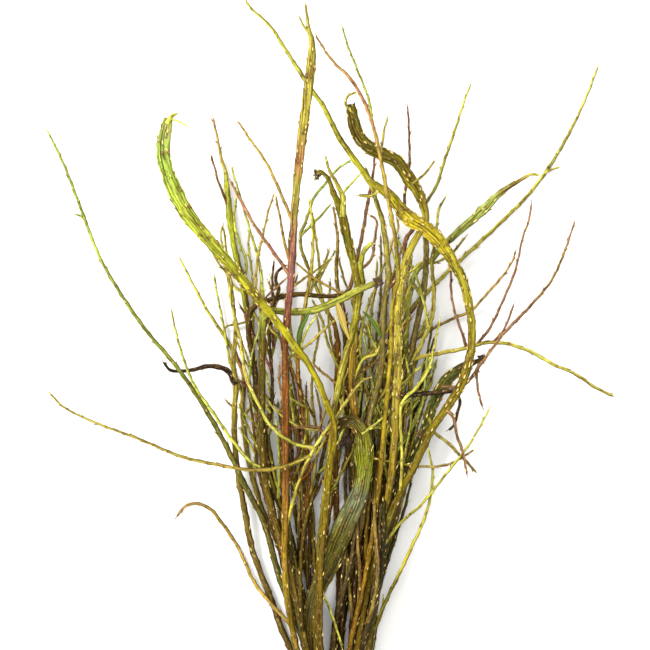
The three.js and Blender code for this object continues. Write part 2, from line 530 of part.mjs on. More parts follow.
// Lays each twig over the earlier wood of its own stem, once it is clear of its root.
function layOverOwn(shoots) {
  for (const shoot of shoots.slice(1)) {
    const under = piecesOf(shoots.slice(0, shoot.index));
    const lifts = [];
    for (const sample of shoot.samples) {
      const near = under.filter(({ a }) => Math.hypot(a.x - sample.x, a.y - sample.y) < NearGrid.CELL);
      for (const piece of near) {
        if (woodBetween(shoot, sample.run, piece.shoot, piece.a.run) < OWN_REACH) continue;
        const lift = heightOver(sample, piece, CROSS_GAP) - sample.z;
        if (lift > 0) lifts.push({ run: sample.run, lift });
      }
    }
    for (const sample of shoot.samples) {
      const rooted = smooth(clamp(sample.run / OWN_GIVE));
      let up = 0;
      for (const { run, lift } of lifts) up = Math.max(up, lift * give(sample.run - run, OWN_GIVE));
      sample.z += up * rooted;
    }
  }
}

// Leaves out the samples that a straight length stands for well enough.
function simplify(samples, first = 0, last = samples.length - 1) {
  const [a, b] = [samples[first], samples[last]];
  let worst = 1;
  let split = -1;
  for (let i = first + 1; i < last; i++) {
    const p = samples[i];
    const t = (p.run - a.run) / (b.run - a.run);
    const off = Math.hypot(...["x", "y", "z", "half"].map((key) => p[key] - mix(a[key], b[key], t)));
    const bend = Math.abs(p.y) < TIGHT_REACH ? TIGHT_BEND : LOOSE_BEND;
    if (off / bend > worst) [worst, split] = [off / bend, i];
  }
  if (split < 0) return [a, b];
  return [...simplify(samples, first, split).slice(0, -1), ...simplify(samples, split, last)];
}

// The place at a run along a shoot's straight lengths, and the way ahead there.
function placeOn(lengths, run) {
  const next = Math.max(1, lengths.findIndex((sample) => sample.run >= run));
  const [a, b] = [lengths[next - 1], lengths[next]];
  const t = clamp((run - a.run) / (b.run - a.run));
  const place = Object.fromEntries(Object.keys(a).map((key) => [key, mix(a[key], b[key], t)]));
  return { ...place, ahead: new THREE.Vector3(b.x - a.x, b.y - a.y, b.z - a.z).normalize() };
}

// Straightens each shoot, with every twig's root on the wood that carries it.
function straighten(shoots) {
  for (const shoot of shoots) {
    if (shoot.parent) {
      const { x, y, z } = placeOn(shoot.parent.lengths, shoot.rootRun);
      Object.assign(shoot.samples[0], { x, y, z });
    }
    shoot.lengths = simplify(shoot.samples);
  }
}

// A closed geometry from rings of points that all have the same number of points.
function skin(rings) {
  const around = rings[0].length;
  const positions = rings.flat().flatMap((p) => [p.x, p.y, p.z]);
  const faces = [];
  for (let r = 1; r < rings.length; r++) {
    for (let i = 0; i < around; i++) {
      const j = (i + 1) % around;
      const [a, b] = [(r - 1) * around, r * around];
      faces.push(a + i, b + j, a + j, a + i, b + i, b + j);
    }
  }
  const end = (rings.length - 1) * around;
  for (let i = 1; i < around - 1; i++) faces.push(0, i, i + 1, end, end + i + 1, end + i);
  const geometry = new THREE.BufferGeometry();
  geometry.setAttribute("position", new THREE.Float32BufferAttribute(positions, 3));
  geometry.setIndex(faces);
  return geometry;
}

// Rings of the section set square to a shoot, with their width level.
function shootRings(samples, section) {
  return samples.map((sample, i) => {
    const before = samples[Math.max(0, i - 1)];
    const after = samples[Math.min(samples.length - 1, i + 1)];
    const into = new THREE.Vector3(sample.x - before.x, sample.y - before.y, sample.z - before.z);
    const out = new THREE.Vector3(after.x - sample.x, after.y - sample.y, after.z - sample.z);
    const ahead = into.normalize().add(out.normalize()).normalize();
    const side = new THREE.Vector3(ahead.y, -ahead.x, 0).normalize();
    const up = new THREE.Vector3().crossVectors(side, ahead);
    return section.map(([across, raised]) => new THREE.Vector3(sample.x, sample.y, sample.z)
      .addScaledVector(side, across * sample.half)
      .addScaledVector(up, raised * sample.rise));
  });
}

// A closed mesh as a solid that can be joined to others.
function solidOf(geometry) {
  const bare = geometry.clone();
  bare.deleteAttribute("normal");
  bare.deleteAttribute("uv");
  const merged = mergeVertices(bare, 1e-4);
  return new wasm.Manifold(new wasm.Mesh({
    numProp: 3,
    vertProperties: new Float32Array(merged.attributes.position.array),
    triVerts: new Uint32Array(merged.index.array),
  }));
}

function geometryOf(solid) {
  const { vertProperties, triVerts } = solid.getMesh();
  const geometry = new THREE.BufferGeometry();
  geometry.setAttribute("position", new THREE.BufferAttribute(new Float32Array(vertProperties), 3));
  geometry.setIndex(new THREE.BufferAttribute(new Uint32Array(triVerts), 1));
  geometry.computeVertexNormals();
  return geometry;
}

function sectionOf(shoot) {
  const widest = Math.max(...shoot.samples.map(({ width }) => width));
  if (widest > RIBBON_WIDTH) return RIBBED;
  if (!shoot.parent) return SIX_SIDED;
  return widest > FINE_WIDTH ? FIVE_SIDED : FOUR_SIDED;
}

// Numbers between 0 and 1 that are the same every time.
function seededDraw(seed) {
  let state = seed;
  return () => {
    state = (state * 1103515245 + 12345) % 2147483648;
    return state / 2147483648;
  };
}

// Whether a place has room for a bud among all the other wood.
function hasRoom(place, shoots, grid) {
  for (const { shoot, a, b } of grid.near(place.x, place.y)) {
    if (shoots.includes(shoot)) continue;
    const middle = new THREE.Vector3((a.x + b.x) / 2, (a.y + b.y) / 2, (a.z + b.z) / 2);
    if (middle.distanceTo(place) < a.half + BUD_ROOM) return false;
  }
  return true;
}

// The way from the middle of a shoot out to the middle of one of its sides.
function outwardAt({ ahead, half, rise }, angle) {
  const side = new THREE.Vector3(ahead.y, -ahead.x, 0).normalize();
  const up = new THREE.Vector3().crossVectors(side, ahead);
  return side.multiplyScalar(half * Math.cos(angle)).addScaledVector(up, rise * Math.sin(angle));
}

// A pointed winter bud, its root sunk in the wood, that leans out from its shoot towards the tip.
function budSolid(place, outward) {
  const size = mix(BUD_SMALLEST, 1, clamp(place.width / ROUND_WIDTH));
  const length = BUD_LENGTH * size;
  const geometry = new THREE.ConeGeometry((BUD_WIDTH * size) / 2, length, 3);
  const lean = place.ahead.clone().addScaledVector(outward.clone().normalize(), BUD_LEAN).normalize();
  geometry.applyQuaternion(new THREE.Quaternion().setFromUnitVectors(new THREE.Vector3(0, 1, 0), lean));
  const centre = new THREE.Vector3(place.x, place.y, place.z).addScaledVector(outward, BUD_SEAT)
    .addScaledVector(lean, length / 2);
  return solidOf(geometry.translate(centre.x, centre.y, centre.z));
}

// Buds up each shoot, each part of the way round from the last, as they sit on a willow.
function budsOf(shoots, grid, draw) {
  const buds = [];
  for (const shoot of shoots) {
    if (shoot.depth) continue;
    const sides = sectionOf(shoot).length;
    const reach = shoot.samples[shoot.samples.length - 1].run;
    let run = BUD_SPACING * mix(...BUD_FIRST, draw());
    let side = Math.floor(sides * draw());
    while (run < reach - BUD_LENGTH) {
      const place = placeOn(shoot.lengths, run);
      for (let tries = 0; tries < sides && place.y > TIGHT_REACH; tries++) {
        side += Math.round(BUD_TURN * sides);
        const outward = outwardAt(place, -Math.PI / 2 + (2 * Math.PI * side) / sides);
        const bud = new THREE.Vector3(place.x, place.y, place.z).addScaledVector(outward, BUD_REACH);
        if (bud.z > BUD_WIDTH && hasRoom(bud, shoots, grid)) {
          buds.push(budSolid(place, outward));
          break;
        }
      }
      run += BUD_SPACING * mix(...BUD_NEXT, draw());
    }
  }
  return buds;
}

// The stems, laid one over another.
const grid = new NearGrid();
const laid = STEMS.map((stem) => {
  const shoots = growStem(stem);
  layOver(shoots, grid);
  layOverOwn(shoots);
  straighten(shoots);
  piecesOf(shoots).forEach((piece) => grid.add(piece));
  return shoots;
});

function stemMesh({ name, colour }, shoots, draw) {
  const parts = shoots.map((shoot) => solidOf(skin(shootRings(shoot.lengths, sectionOf(shoot)))));
  const solid = [...parts, ...budsOf(shoots, grid, draw)].reduce((sum, part) => sum.add(part));
  const mesh = new THREE.Mesh(
    geometryOf(solid),
    new THREE.MeshStandardMaterial({ color: colour, roughness: 0.62, metalness: 0 }),
  );
  mesh.name = name;
  return mesh;
}

// The band's inside, as how far it reaches in each direction round the tight bundle.
function bandReach(angle) {
  const [c, s] = [Math.cos(angle), Math.sin(angle)];
  const under = laid.flatMap(([trunk]) => (
    trunk.samples.filter(({ y }) => Math.abs(y) < BAND_TURN * BAND_TURNS)
  ));
  return TOUCH_GAP + Math.max(...under.map(({ x, z, half, rise }) => (
    x * c + z * s + Math.max(...SIX_SIDED.map(([u, v]) => u * half * c + v * rise * s))
  )));
}

// One rubber band wound three times round the stems, its turns side by side.
function bandMesh() {
  const turn = (2 * Math.PI) / BAND_SIDES;
  const angles = Array.from({ length: BAND_SIDES }, (_, i) => -Math.PI / 2 + i * turn);
  const reaches = angles.map(bandReach);
  const corner = (i, out) => {
    const j = (i + 1) % BAND_SIDES;
    const [a, b, p, q] = [angles[i], angles[j], reaches[i] + out, reaches[j] + out];
    const det = Math.sin(b - a);
    return [(p * Math.sin(b) - q * Math.sin(a)) / det, (q * Math.cos(a) - p * Math.cos(b)) / det];
  };
  const width = BAND_TURN * BAND_TURNS;
  const profile = [[-width / 2, 0]];
  for (let turn = 0; turn < BAND_TURNS; turn++) {
    const start = -width / 2 + turn * BAND_TURN;
    profile.push([start, BAND_THICKNESS * TURN_GROOVE]);
    profile.push([start + BAND_TURN * TURN_EDGE, BAND_THICKNESS]);
    profile.push([start + BAND_TURN * (1 - TURN_EDGE), BAND_THICKNESS]);
  }
  profile.push([width / 2, BAND_THICKNESS * TURN_GROOVE], [width / 2, 0]);
  const rings = angles.map((_, i) => profile.map(([y, out]) => {
    const [x, z] = corner(i, out);
    return new THREE.Vector3(x, y, z);
  }));
  const around = profile.length;
  const faces = [];
  rings.forEach((_, r) => {
    const [a, b] = [r * around, ((r + 1) % BAND_SIDES) * around];
    for (let i = 0; i < around; i++) {
      const j = (i + 1) % around;
      faces.push(a + i, a + j, b + j, a + i, b + j, b + i);
    }
  });
  const geometry = new THREE.BufferGeometry();
  geometry.setAttribute("position", new THREE.Float32BufferAttribute(
    rings.flat().flatMap((p) => [p.x, p.y, p.z]), 3,
  ));
  geometry.setIndex(faces);
  geometry.computeVertexNormals();
  const mesh = new THREE.Mesh(
    geometry,
    new THREE.MeshStandardMaterial({ color: 0xc9a26b, roughness: 0.7, metalness: 0 }),
  );
  mesh.name = "rubber_band";
  return mesh;
}

const draw = seededDraw(BUD_SEED);
const bunch = new THREE.Group();
STEMS.forEach((stem, i) => bunch.add(stemMesh(stem, laid[i], draw)));
bunch.add(bandMesh());

export default bunch;
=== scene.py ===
"""Fantail willow: twenty-three cut stems held by one rubber band, lying on a pale surface.

Some shoots have grown flat, into ribbons with lengthwise ridges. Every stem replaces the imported
solid of the same name with finer wood: rounder sections, ridges, swollen nodes, winter buds and
bark. Routes are in millimetres in the shared frame: X across the bunch, Y from the band towards
the tips, Z up from the surface.
"""

import json
import logging
import math
from dataclasses import dataclass, field
from enum import Enum
from typing import Any, Optional, Sequence

import bpy
import numpy as np
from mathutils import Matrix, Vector

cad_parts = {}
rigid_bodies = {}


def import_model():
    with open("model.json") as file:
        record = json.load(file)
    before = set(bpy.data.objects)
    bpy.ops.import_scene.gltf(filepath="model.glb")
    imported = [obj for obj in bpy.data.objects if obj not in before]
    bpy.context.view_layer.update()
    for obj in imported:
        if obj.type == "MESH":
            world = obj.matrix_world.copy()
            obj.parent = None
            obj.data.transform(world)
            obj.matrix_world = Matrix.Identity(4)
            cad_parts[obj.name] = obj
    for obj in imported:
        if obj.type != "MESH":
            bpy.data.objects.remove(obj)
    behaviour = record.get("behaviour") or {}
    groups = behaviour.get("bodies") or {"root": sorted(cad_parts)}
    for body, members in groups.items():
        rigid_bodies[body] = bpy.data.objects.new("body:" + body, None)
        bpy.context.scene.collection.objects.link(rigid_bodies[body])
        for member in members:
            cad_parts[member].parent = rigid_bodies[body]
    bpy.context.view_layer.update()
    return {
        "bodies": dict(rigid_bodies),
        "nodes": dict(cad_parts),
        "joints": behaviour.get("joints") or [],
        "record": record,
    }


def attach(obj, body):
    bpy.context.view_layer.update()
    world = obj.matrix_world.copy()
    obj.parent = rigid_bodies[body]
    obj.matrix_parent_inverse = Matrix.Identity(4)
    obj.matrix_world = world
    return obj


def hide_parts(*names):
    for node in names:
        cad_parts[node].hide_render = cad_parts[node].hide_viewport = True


LOG = logging.getLogger("willow")

MM = 0.001  # metres in a millimetre

Array = np.ndarray
Material = bpy.types.Material
Tree = bpy.types.NodeTree
Pair = tuple[float, float]
Route = tuple[tuple[float, ...], ...]
Stops = Sequence[tuple[float, str]]

# The tie and the way the stems lie over each other, in millimetres.
CUT_END = -88
BAND_THICKNESS = 1.8
BAND_TURN = 3.2
BAND_TURNS = 3
TOUCH_GAP = 0.5
CROSS_GAP = 2.6
TIGHT_REACH = 60
LOOSE_REACH = 150
CORNER = 1.1
FLAT_DEPTH = 0.952  # from a six-sided stem's middle to the flat under it, in half depths
STEP = 4
GIVE = 95
OWN_GIVE = 55
OWN_REACH = 60

# Depth of the wood for its width, in millimetres.
ROUND_WIDTH = 8
FLATTENING = 0.35
RIBBON_DEPTH = 5.5
RIBBON_WIDTH = 14
RIBBON_ROUNDING = 3

FULL_TURN = 2 * np.pi
OWN = -1.0  # the hue of a shoot in its stem's own bark
DEAD = 0.04  # the hue of a shoot that has dried out
# A stem's finishes, by slot.
BARK_SLOT, SCALE_SLOT, CUT_SLOT, DRIED_SLOT = range(4)


def route_of(text: str) -> Route:
    """Reads a route's knots, written as "x,y" or "x,y,width" with spaces between them."""
    return tuple(tuple(float(part) for part in knot.split(",")) for knot in text.split())


def stops_of(text: str) -> Stops:
    """Reads a colour ramp's stops, written as "position #colour" with commas between them."""
    return tuple((float(place), colour) for place, colour in map(str.split, text.split(",")))


def smooth(t: Array | float) -> Array | float:
    """Turns 0 to 1 into a rise that starts and ends level."""
    t = np.clip(t, 0.0, 1.0)
    return t * t * (3 - 2 * t)


def unit(ways: Array) -> Array:
    """Scales directions to a length of one."""
    return ways / np.linalg.norm(ways, axis=-1, keepdims=True)


def directions(places: Array) -> tuple[Array, ...]:
    """Finds the ways ahead, level to the side, and up, at each place along some wood."""
    ahead = unit(np.gradient(places, axis=0))
    side = unit(np.cross(ahead, (0, 0, 1)))
    return ahead, side, np.cross(side, ahead)


def rings_round(places: Array, across: Array, high: Array, side: Array,
                up: Array) -> Array:
    """Sets the points of each ring across and up from the ring's middle."""
    return places[:, None] + across[..., None] * side[:, None] + high[..., None] * up[:, None]


def add_object(name: str, data: bpy.types.ID) -> bpy.types.Object:
    """Adds an object to the scene."""
    thing = bpy.data.objects.new(name, data)
    bpy.context.scene.collection.objects.link(thing)
    return thing


def add_mesh(name: str, points: Array, faces: list[Any],
             materials: Sequence[Material]) -> bpy.types.Object:
    """Adds a smooth mesh to the scene.

    Args:
        name: its name.
        points: its points, in millimetres.
        faces: the points of each face, by number.
        materials: its finishes, by slot.

    Returns:
        The object.
    """
    mesh = bpy.data.meshes.new(name)
    mesh.from_pydata((points * MM).tolist(), [], faces)
    mesh.polygons.foreach_set("use_smooth", [True] * len(faces))
    for material in materials:
        mesh.materials.append(material)
    return add_object(name, mesh)


def hex_to_linear(colour: str) -> tuple[float, ...]:
    """Turns an sRGB hex colour, such as "#A8C03A", into linear light with an alpha of one."""
    levels = [int(colour[i:i + 2], 16) / 255 for i in (1, 3, 5)]
    return (*(v / 12.92 if v <= 0.04045 else ((v + 0.055) / 1.055) ** 2.4 for v in levels), 1.0)


def fill_inputs(tree: Tree, node: bpy.types.Node, links: dict[Any, Any]) -> None:
    """Links or sets a node's inputs.

    Args:
        tree: the material's nodes.
        node: the node.
        links: for each input, by name or number, an output, a value or a hex colour.
    """
    for socket, value in links.items():
        if isinstance(value, bpy.types.NodeSocket):
            tree.links.new(value, node.inputs[socket])
        else:
            node.inputs[socket].default_value = hex_to_linear(value) if isinstance(value, str) else value


def add_node(tree: Tree, kind: str, links: dict[Any, Any], stops: Stops = (),
             out: int | str = 0, **settings: Any) -> bpy.types.NodeSocket:
    """Adds a shader node with its settings and links.

    Args:
        tree: the material's nodes.
        kind: the node's type, after the "ShaderNode" that every one starts with.
        links: for each input, by name or number, an output, a value or a hex colour.
        stops: positions and hex colours, for a colour ramp.
        out: the output to give back, by name or number.
        settings: the node's own settings.

    Returns:
        The output.
    """
    node = tree.nodes.new("ShaderNode" + kind)
    for name, value in settings.items():
        setattr(node, name, value)
    fill_inputs(tree, node, links)
    if stops:
        elements = node.color_ramp.elements
        while len(elements) < len(stops):
            elements.new(1.0)
        for element, (position, colour) in zip(elements, stops):
            element.position, element.color = position, hex_to_linear(colour)
    return node.outputs[out]


@dataclass(frozen=True)
class Finish:
    """What every finish shares: it makes a material and paints its shader."""

    def build(self, name: str) -> Material:
        """Makes the material.

        Args:
            name: its name.

        Returns:
            The material.
        """
        material = bpy.data.materials.new(name)
        material.use_nodes = True
        tree = material.node_tree
        fill_inputs(tree, tree.nodes["Principled BSDF"], self.paint(tree))
        return material

    def paint(self, tree: Tree) -> dict[str, Any]:
        """Adds the finish's nodes, and gives what goes into the shader's inputs."""
        raise NotImplementedError


YOUNG_WOOD = stops_of("0.05 #2E2014, 0.1 #7A4234, 0.22 #9A6850, 0.4 #A88444, 0.55 #A08C30, 0.68 #BAB044, "
                      "0.8 #C8C850, 1 #8EA648")


@dataclass(frozen=True)
class WillowBark(Finish):
    """Smooth young willow bark: waxy, streaked along the shoot, with painted light towards its top and
    painted shade on its right flank and in its furrows.

    It grew in one season, so it has fine lengthwise streaks and no cracks, and it shines softly
    where the wax is left. The colour runs from the cut end to the tip, and thin wood takes the
    colour of its own youth.
    """

    along: str
    patch: str = "#5A3C18"
    patches: float = 0.6
    # the colour of the painted shade on the right flank and in the furrows, and of the real bud scars and
    # dark flecks
    flank: str = "#1E1403"
    painted_flank_shade: float = 0.85
    wax: str = "#7E8A66"
    bloom: float = 0.0
    streak_mm: float = 1.5  # true streaks are about 0.4 mm apart, too fine to show
    streak_length_mm: float = 22.0
    band_mm: float = 4.2
    band_length_mm: float = 60.0
    patch_mm: float = 9.0
    fleck_mm: float = 3.0  # true lenticels are about 1 mm wide, too fine to show
    lenticel: str = "#D8C684"
    lenticels: float = 0.42

    def paint(self, tree: Tree) -> dict[str, Any]:
        """Adds the colour along the wood and what lies over it.

        Args:
            tree: the material's nodes.

        Returns:
            What goes into the shader's inputs.
        """
        grain, growth, skin = (add_node(tree, "Attribute", {}, out="Vector", attribute_name=mark)
                               for mark in ("grain", "growth", "skin"))
        share, youth, hue = add_node(tree, "SeparateXYZ", {0: growth}).node.outputs
        dark, painted_light, tone = add_node(tree, "SeparateXYZ", {0: skin}).node.outputs
        noises = []
        for across, length in ((self.streak_mm, self.streak_length_mm),
                               (self.band_mm, self.band_length_mm),
                               (self.patch_mm, 3 * self.patch_mm), (self.fleck_mm, 2 * self.fleck_mm)):
            place = add_node(tree, "VectorMath", {0: grain, 1: (1 / across, 1 / across, 1 / length)},
                             operation="MULTIPLY")
            noises.append(add_node(tree, "TexNoise", {
                "Vector": place, "Scale": 1.0, "Detail": 3.0, "Roughness": 0.6}))
        streaks, bands, patches, flecks = noises

        # Each value's range, and what the range becomes.
        patched, waxed, lines, wide, pale, shade, specked, roughness = (
            add_node(tree, "MapRange", dict(enumerate(ends))) for ends in (
                (patches, 0.5, 0.68, 0.0, self.patches),
                (patches, 0.36, 0.5, self.bloom, 0.0),
                (streaks, 0.32, 0.68, 0.5, 1.55),
                (bands, 0.34, 0.66, 0.56, 1.5),
                (flecks, 0.4, 0.33, 0.0, self.lenticels),
                # painted shade, strongest where the painted light is least
                (painted_light, 0.0, 1.0, self.painted_flank_shade, 0.0),
                (flecks, 0.56, 0.66, 0.0, 0.7),
                (streaks, 0.0, 1.0, 0.32, 0.6)))
        both = add_node(tree, "Math", {0: lines, 1: wide}, operation="MULTIPLY")
        value = add_node(tree, "Math", {0: both, 1: tone}, operation="MULTIPLY")
        # Painted shade on the flank and in the furrows, the bud scars and the dark flecks all take the
        # flank colour.
        deep = add_node(tree, "Math", {0: shade, 1: dark}, operation="MAXIMUM")
        deepest = add_node(tree, "Math", {0: deep, 1: specked}, operation="MAXIMUM")

        colour = add_node(tree, "ValToRGB", {0: share}, stops_of(self.along))
        young = add_node(tree, "ValToRGB", {0: hue}, YOUNG_WOOD)
        for where, over in ((youth, young), (patched, self.patch), (waxed, self.wax)):
            colour = add_node(tree, "Mix", {0: where, 6: colour, 7: over}, out=2, data_type="RGBA")
        colour = add_node(tree, "HueSaturation", {"Value": value, "Color": colour})
        for where, over in ((pale, self.lenticel), (deepest, self.flank)):
            colour = add_node(tree, "Mix", {0: where, 6: colour, 7: over}, out=2, data_type="RGBA")
        bump = add_node(tree, "Bump", {"Strength": 0.7, "Distance": 0.5 * MM, "Height": both})
        return {"Base Color": colour, "Roughness": roughness, "Normal": bump, "IOR": 1.45,
                "Specular IOR Level": 0.08}


@dataclass(frozen=True)
class BudScale(Finish):
    """The single scale of a winter bud: a dry, leathery cap, straw-coloured or weathered brown."""

    straw: str = "0 #6A4A1A, 0.12 #CDB458, 0.65 #DECB78, 0.88 #B88648, 1 #5E3018"
    weathered: str = "0 #3E2A12, 0.3 #94702E, 0.7 #7C4A24, 1 #3E1E14"

    def paint(self, tree: Tree) -> dict[str, Any]:
        """Adds the colour from the bud's foot to its point.

        Args:
            tree: the material's nodes.

        Returns:
            What goes into the shader's inputs.
        """
        growth, skin = (add_node(tree, "Attribute", {}, out="Vector", attribute_name=mark)
                        for mark in ("growth", "skin"))
        share, age, _ = add_node(tree, "SeparateXYZ", {0: growth}).node.outputs
        tone = add_node(tree, "SeparateXYZ", {0: skin}, out=2)
        straw, brown = (add_node(tree, "ValToRGB", {0: share}, stops_of(text))
                        for text in (self.straw, self.weathered))
        colour = add_node(tree, "Mix", {0: age, 6: straw, 7: brown}, out=2, data_type="RGBA")
        toned = add_node(tree, "HueSaturation", {"Value": tone, "Color": colour})
        return {"Base Color": toned, "Roughness": 0.42}


@dataclass(frozen=True)
class Mottled(Finish):
    """What a patchy finish shares: two colours in the humps and hollows of its surface."""

    hollow: str
    hump: str
    patch_mm: float
    detail: float
    mixed: Pair
    relief: float
    relief_mm: float
    roughness: float
    ior: float = 1.5

    def paint(self, tree: Tree) -> dict[str, Any]:
        """Adds the patches and their bump.

        Args:
            tree: the material's nodes.

        Returns:
            What goes into the shader's inputs.
        """
        place = add_node(tree, "TexCoord", {}, out="Object")
        patches = add_node(tree, "TexNoise", {
            "Vector": place, "Scale": 1 / (self.patch_mm * MM), "Detail": self.detail})
        share = add_node(tree, "MapRange", {
            "Value": patches, "From Min": self.mixed[0], "From Max": self.mixed[1]})
        colour = add_node(tree, "Mix", {0: share, 6: self.hollow, 7: self.hump}, out=2, data_type="RGBA")
        bump = add_node(tree, "Bump", {
            "Strength": self.relief, "Distance": self.relief_mm * MM, "Height": patches})
        return {"Base Color": colour, "Normal": bump, "Roughness": self.roughness, "IOR": self.ior}


@dataclass(frozen=True)
class DriedCatkin(Mottled):
    """Shrivelled leaves and buds at a broken tip: dead, papery and nearly black-brown."""

    hollow: str = "#241A12"
    hump: str = "#6E5334"
    patch_mm: float = 1.6
    detail: float = 3.0
    mixed: Pair = (0.42, 0.7)
    relief: float = 0.8
    relief_mm: float = 0.5
    roughness: float = 0.85


@dataclass(frozen=True)
class NaturalRubber(Mottled):
    """Cut natural rubber, as in a florist's band: tan, matt and a little dusty."""

    hollow: str = "#C69A62"
    hump: str = "#DDBE92"
    patch_mm: float = 2.5
    detail: float = 4.0
    mixed: Pair = (0.45, 0.75)
    relief: float = 0.3
    relief_mm: float = 0.1
    roughness: float = 0.6
    ior: float = 1.52


@dataclass(frozen=True)
class CutWillow(Finish):
    """Fresh willow wood where the secateurs cut it: pale, matt, with a small brown pith."""

    wood: str = "#E8D8A6"
    ring: str = "#CDB678"
    pith: str = "#8A6234"
    pith_mm: float = 0.7
    rings: float = 3.4  # radians of their wave in a millimetre

    def paint(self, tree: Tree) -> dict[str, Any]:
        """Adds the rings and the pith round the wood's middle.

        Args:
            tree: the material's nodes.

        Returns:
            What goes into the shader's inputs.
        """
        grain = add_node(tree, "Attribute", {}, out="Vector", attribute_name="grain")
        flat = add_node(tree, "VectorMath", {0: grain, 1: (1.0, 1.0, 0.0)}, operation="MULTIPLY")
        radius = add_node(tree, "VectorMath", {0: flat}, out="Value", operation="LENGTH")
        waves = add_node(tree, "Math", {0: radius, 1: self.rings}, operation="MULTIPLY")
        rings = add_node(tree, "Math", {0: waves}, operation="SINE")
        share = add_node(tree, "MapRange", {"Value": rings, "From Min": -1.0})
        pith = add_node(tree, "Math", {0: radius, 1: self.pith_mm}, operation="LESS_THAN")
        colour = self.wood
        for where, over in ((share, self.ring), (pith, self.pith)):
            colour = add_node(tree, "Mix", {0: where, 6: colour, 7: over}, out=2, data_type="RGBA")
        return {"Base Color": colour, "Roughness": 0.8}


@dataclass(frozen=True)
class WillowLeaf(Finish):
    """A willow leaf that dried on its twig: leathery, with a paler midrib and side veins."""

    blade: str = "#46580E"
    shade: str = "#34460A"
    rib: str = "#6C7C2E"
    rib_mm: float = 0.32
    vein_mm: float = 2.6
    vein_slant: float = -1.2

    def paint(self, tree: Tree) -> dict[str, Any]:
        """Adds the slanting veins and the midrib.

        Args:
            tree: the material's nodes.

        Returns:
            What goes into the shader's inputs.
        """
        grain = add_node(tree, "Attribute", {}, out="Vector", attribute_name="grain")
        aside, _, run = add_node(tree, "SeparateXYZ", {0: grain}).node.outputs
        across = add_node(tree, "Math", {0: aside}, operation="ABSOLUTE")
        slant = add_node(tree, "Math", {0: across, 1: self.vein_slant, 2: run}, operation="MULTIPLY_ADD")
        waves = add_node(tree, "Math", {0: slant, 1: FULL_TURN / self.vein_mm}, operation="MULTIPLY")
        veins = add_node(tree, "Math", {0: waves}, operation="SINE")
        share = add_node(tree, "MapRange", {"Value": veins, "From Min": 0.4})
        rib = add_node(tree, "Math", {0: across, 1: self.rib_mm}, operation="LESS_THAN")
        colour = self.blade
        for where, over in ((share, self.shade), (rib, self.rib)):
            colour = add_node(tree, "Mix", {0: where, 6: colour, 7: over}, out=2, data_type="RGBA")
        bump = add_node(tree, "Bump", {"Strength": 0.4, "Distance": 0.3 * MM, "Height": veins})
        return {"Base Color": colour, "Normal": bump, "Roughness": 0.55, "Specular IOR Level": 0.2}


@dataclass(frozen=True)
class PaintedBoard(Finish):
    """The surface under the bunch: painted board, matt and even, with the paint's faint grain."""

    colour: str = "#F2F1EE"
    grain: float = 900.0

    def paint(self, tree: Tree) -> dict[str, Any]:
        """Adds the paint's grain.

        Args:
            tree: the material's nodes.

        Returns:
            What goes into the shader's inputs.
        """
        place = add_node(tree, "TexCoord", {}, out="Object")
        grain = add_node(tree, "TexNoise", {"Vector": place, "Scale": self.grain})
        bump = add_node(tree, "Bump", {"Strength": 0.05, "Distance": 0.1 * MM, "Height": grain})
        return {"Base Color": self.colour, "Normal": bump, "Roughness": 0.9}


@dataclass
class WoodMesh:
    """A mesh in the making: its points in millimetres, its faces, and what the finishes read.

    Each point carries three marks. The grain is its place in the wood: across, up, and along the
    run. The growth is its share of the shoot, its youth and its hue. The skin is its darkness, which
    is painted shade in its furrows and its own bud scars, its share of painted light, and its tone.
    """

    points: list[Array] = field(default_factory=list)
    marks: dict[str, list[Array]] = field(
        default_factory=lambda: {"grain": [], "growth": [], "skin": []})
    faces: list[tuple[int, ...]] = field(default_factory=list)
    slots: list[int] = field(default_factory=list)
    count: int = 0
    sharp: float = 60.0  # degrees between faces

    def add_rings(self, rings: Array, slot: int, cut_slot: Optional[int] = None,
                  **marks: Array) -> None:
        """Adds a closed skin over rings of points.

        Args:
            rings: the points, ring by ring, each ring going the same way round.
            slot: the finish on its side and its far end.
            cut_slot: the finish on its near end, if that is another.
            marks: what the finishes read, by name, in three numbers for each point.
        """
        n, around = rings.shape[:2]
        ids = self.count + np.arange(n * around).reshape(n, around)
        a, b = ids[:-1], ids[1:]
        quads = np.stack([a, b, np.roll(b, -1, axis=1), np.roll(a, -1, axis=1)], axis=-1)
        self.faces += [*quads.reshape(-1, 4).tolist(), ids[0].tolist(), ids[-1][::-1].tolist()]
        self.slots += [slot] * (quads.shape[0] * around) + [slot if cut_slot is None else cut_slot, slot]
        self.points.append(rings.reshape(-1, 3))
        for name, rows in self.marks.items():
            rows.append(np.broadcast_to(marks.get(name, np.zeros(3)), rings.shape).reshape(-1, 3))
        self.count += n * around

    def build(self, name: str, materials: Sequence[Material]) -> bpy.types.Object:
        """Makes the object, in metres.

        Args:
            name: its name.
            materials: its finishes, by slot.

        Returns:
            The object, linked to the scene.
        """
        points = np.concatenate(self.points)
        points[:, 2] = np.maximum(points[:, 2], 0)  # wood that rests on the surface is pressed flat
        piece = add_mesh(name, points, self.faces, materials)
        piece.data.polygons.foreach_set("material_index", self.slots)
        for key, rows in self.marks.items():
            values = np.concatenate(rows).astype(np.float32).ravel()
            piece.data.attributes.new(key, "FLOAT_VECTOR", "POINT").data.foreach_set("vector", values)
        piece.data.set_sharp_from_angle(angle=math.radians(self.sharp))
        piece.data.update()
        return piece


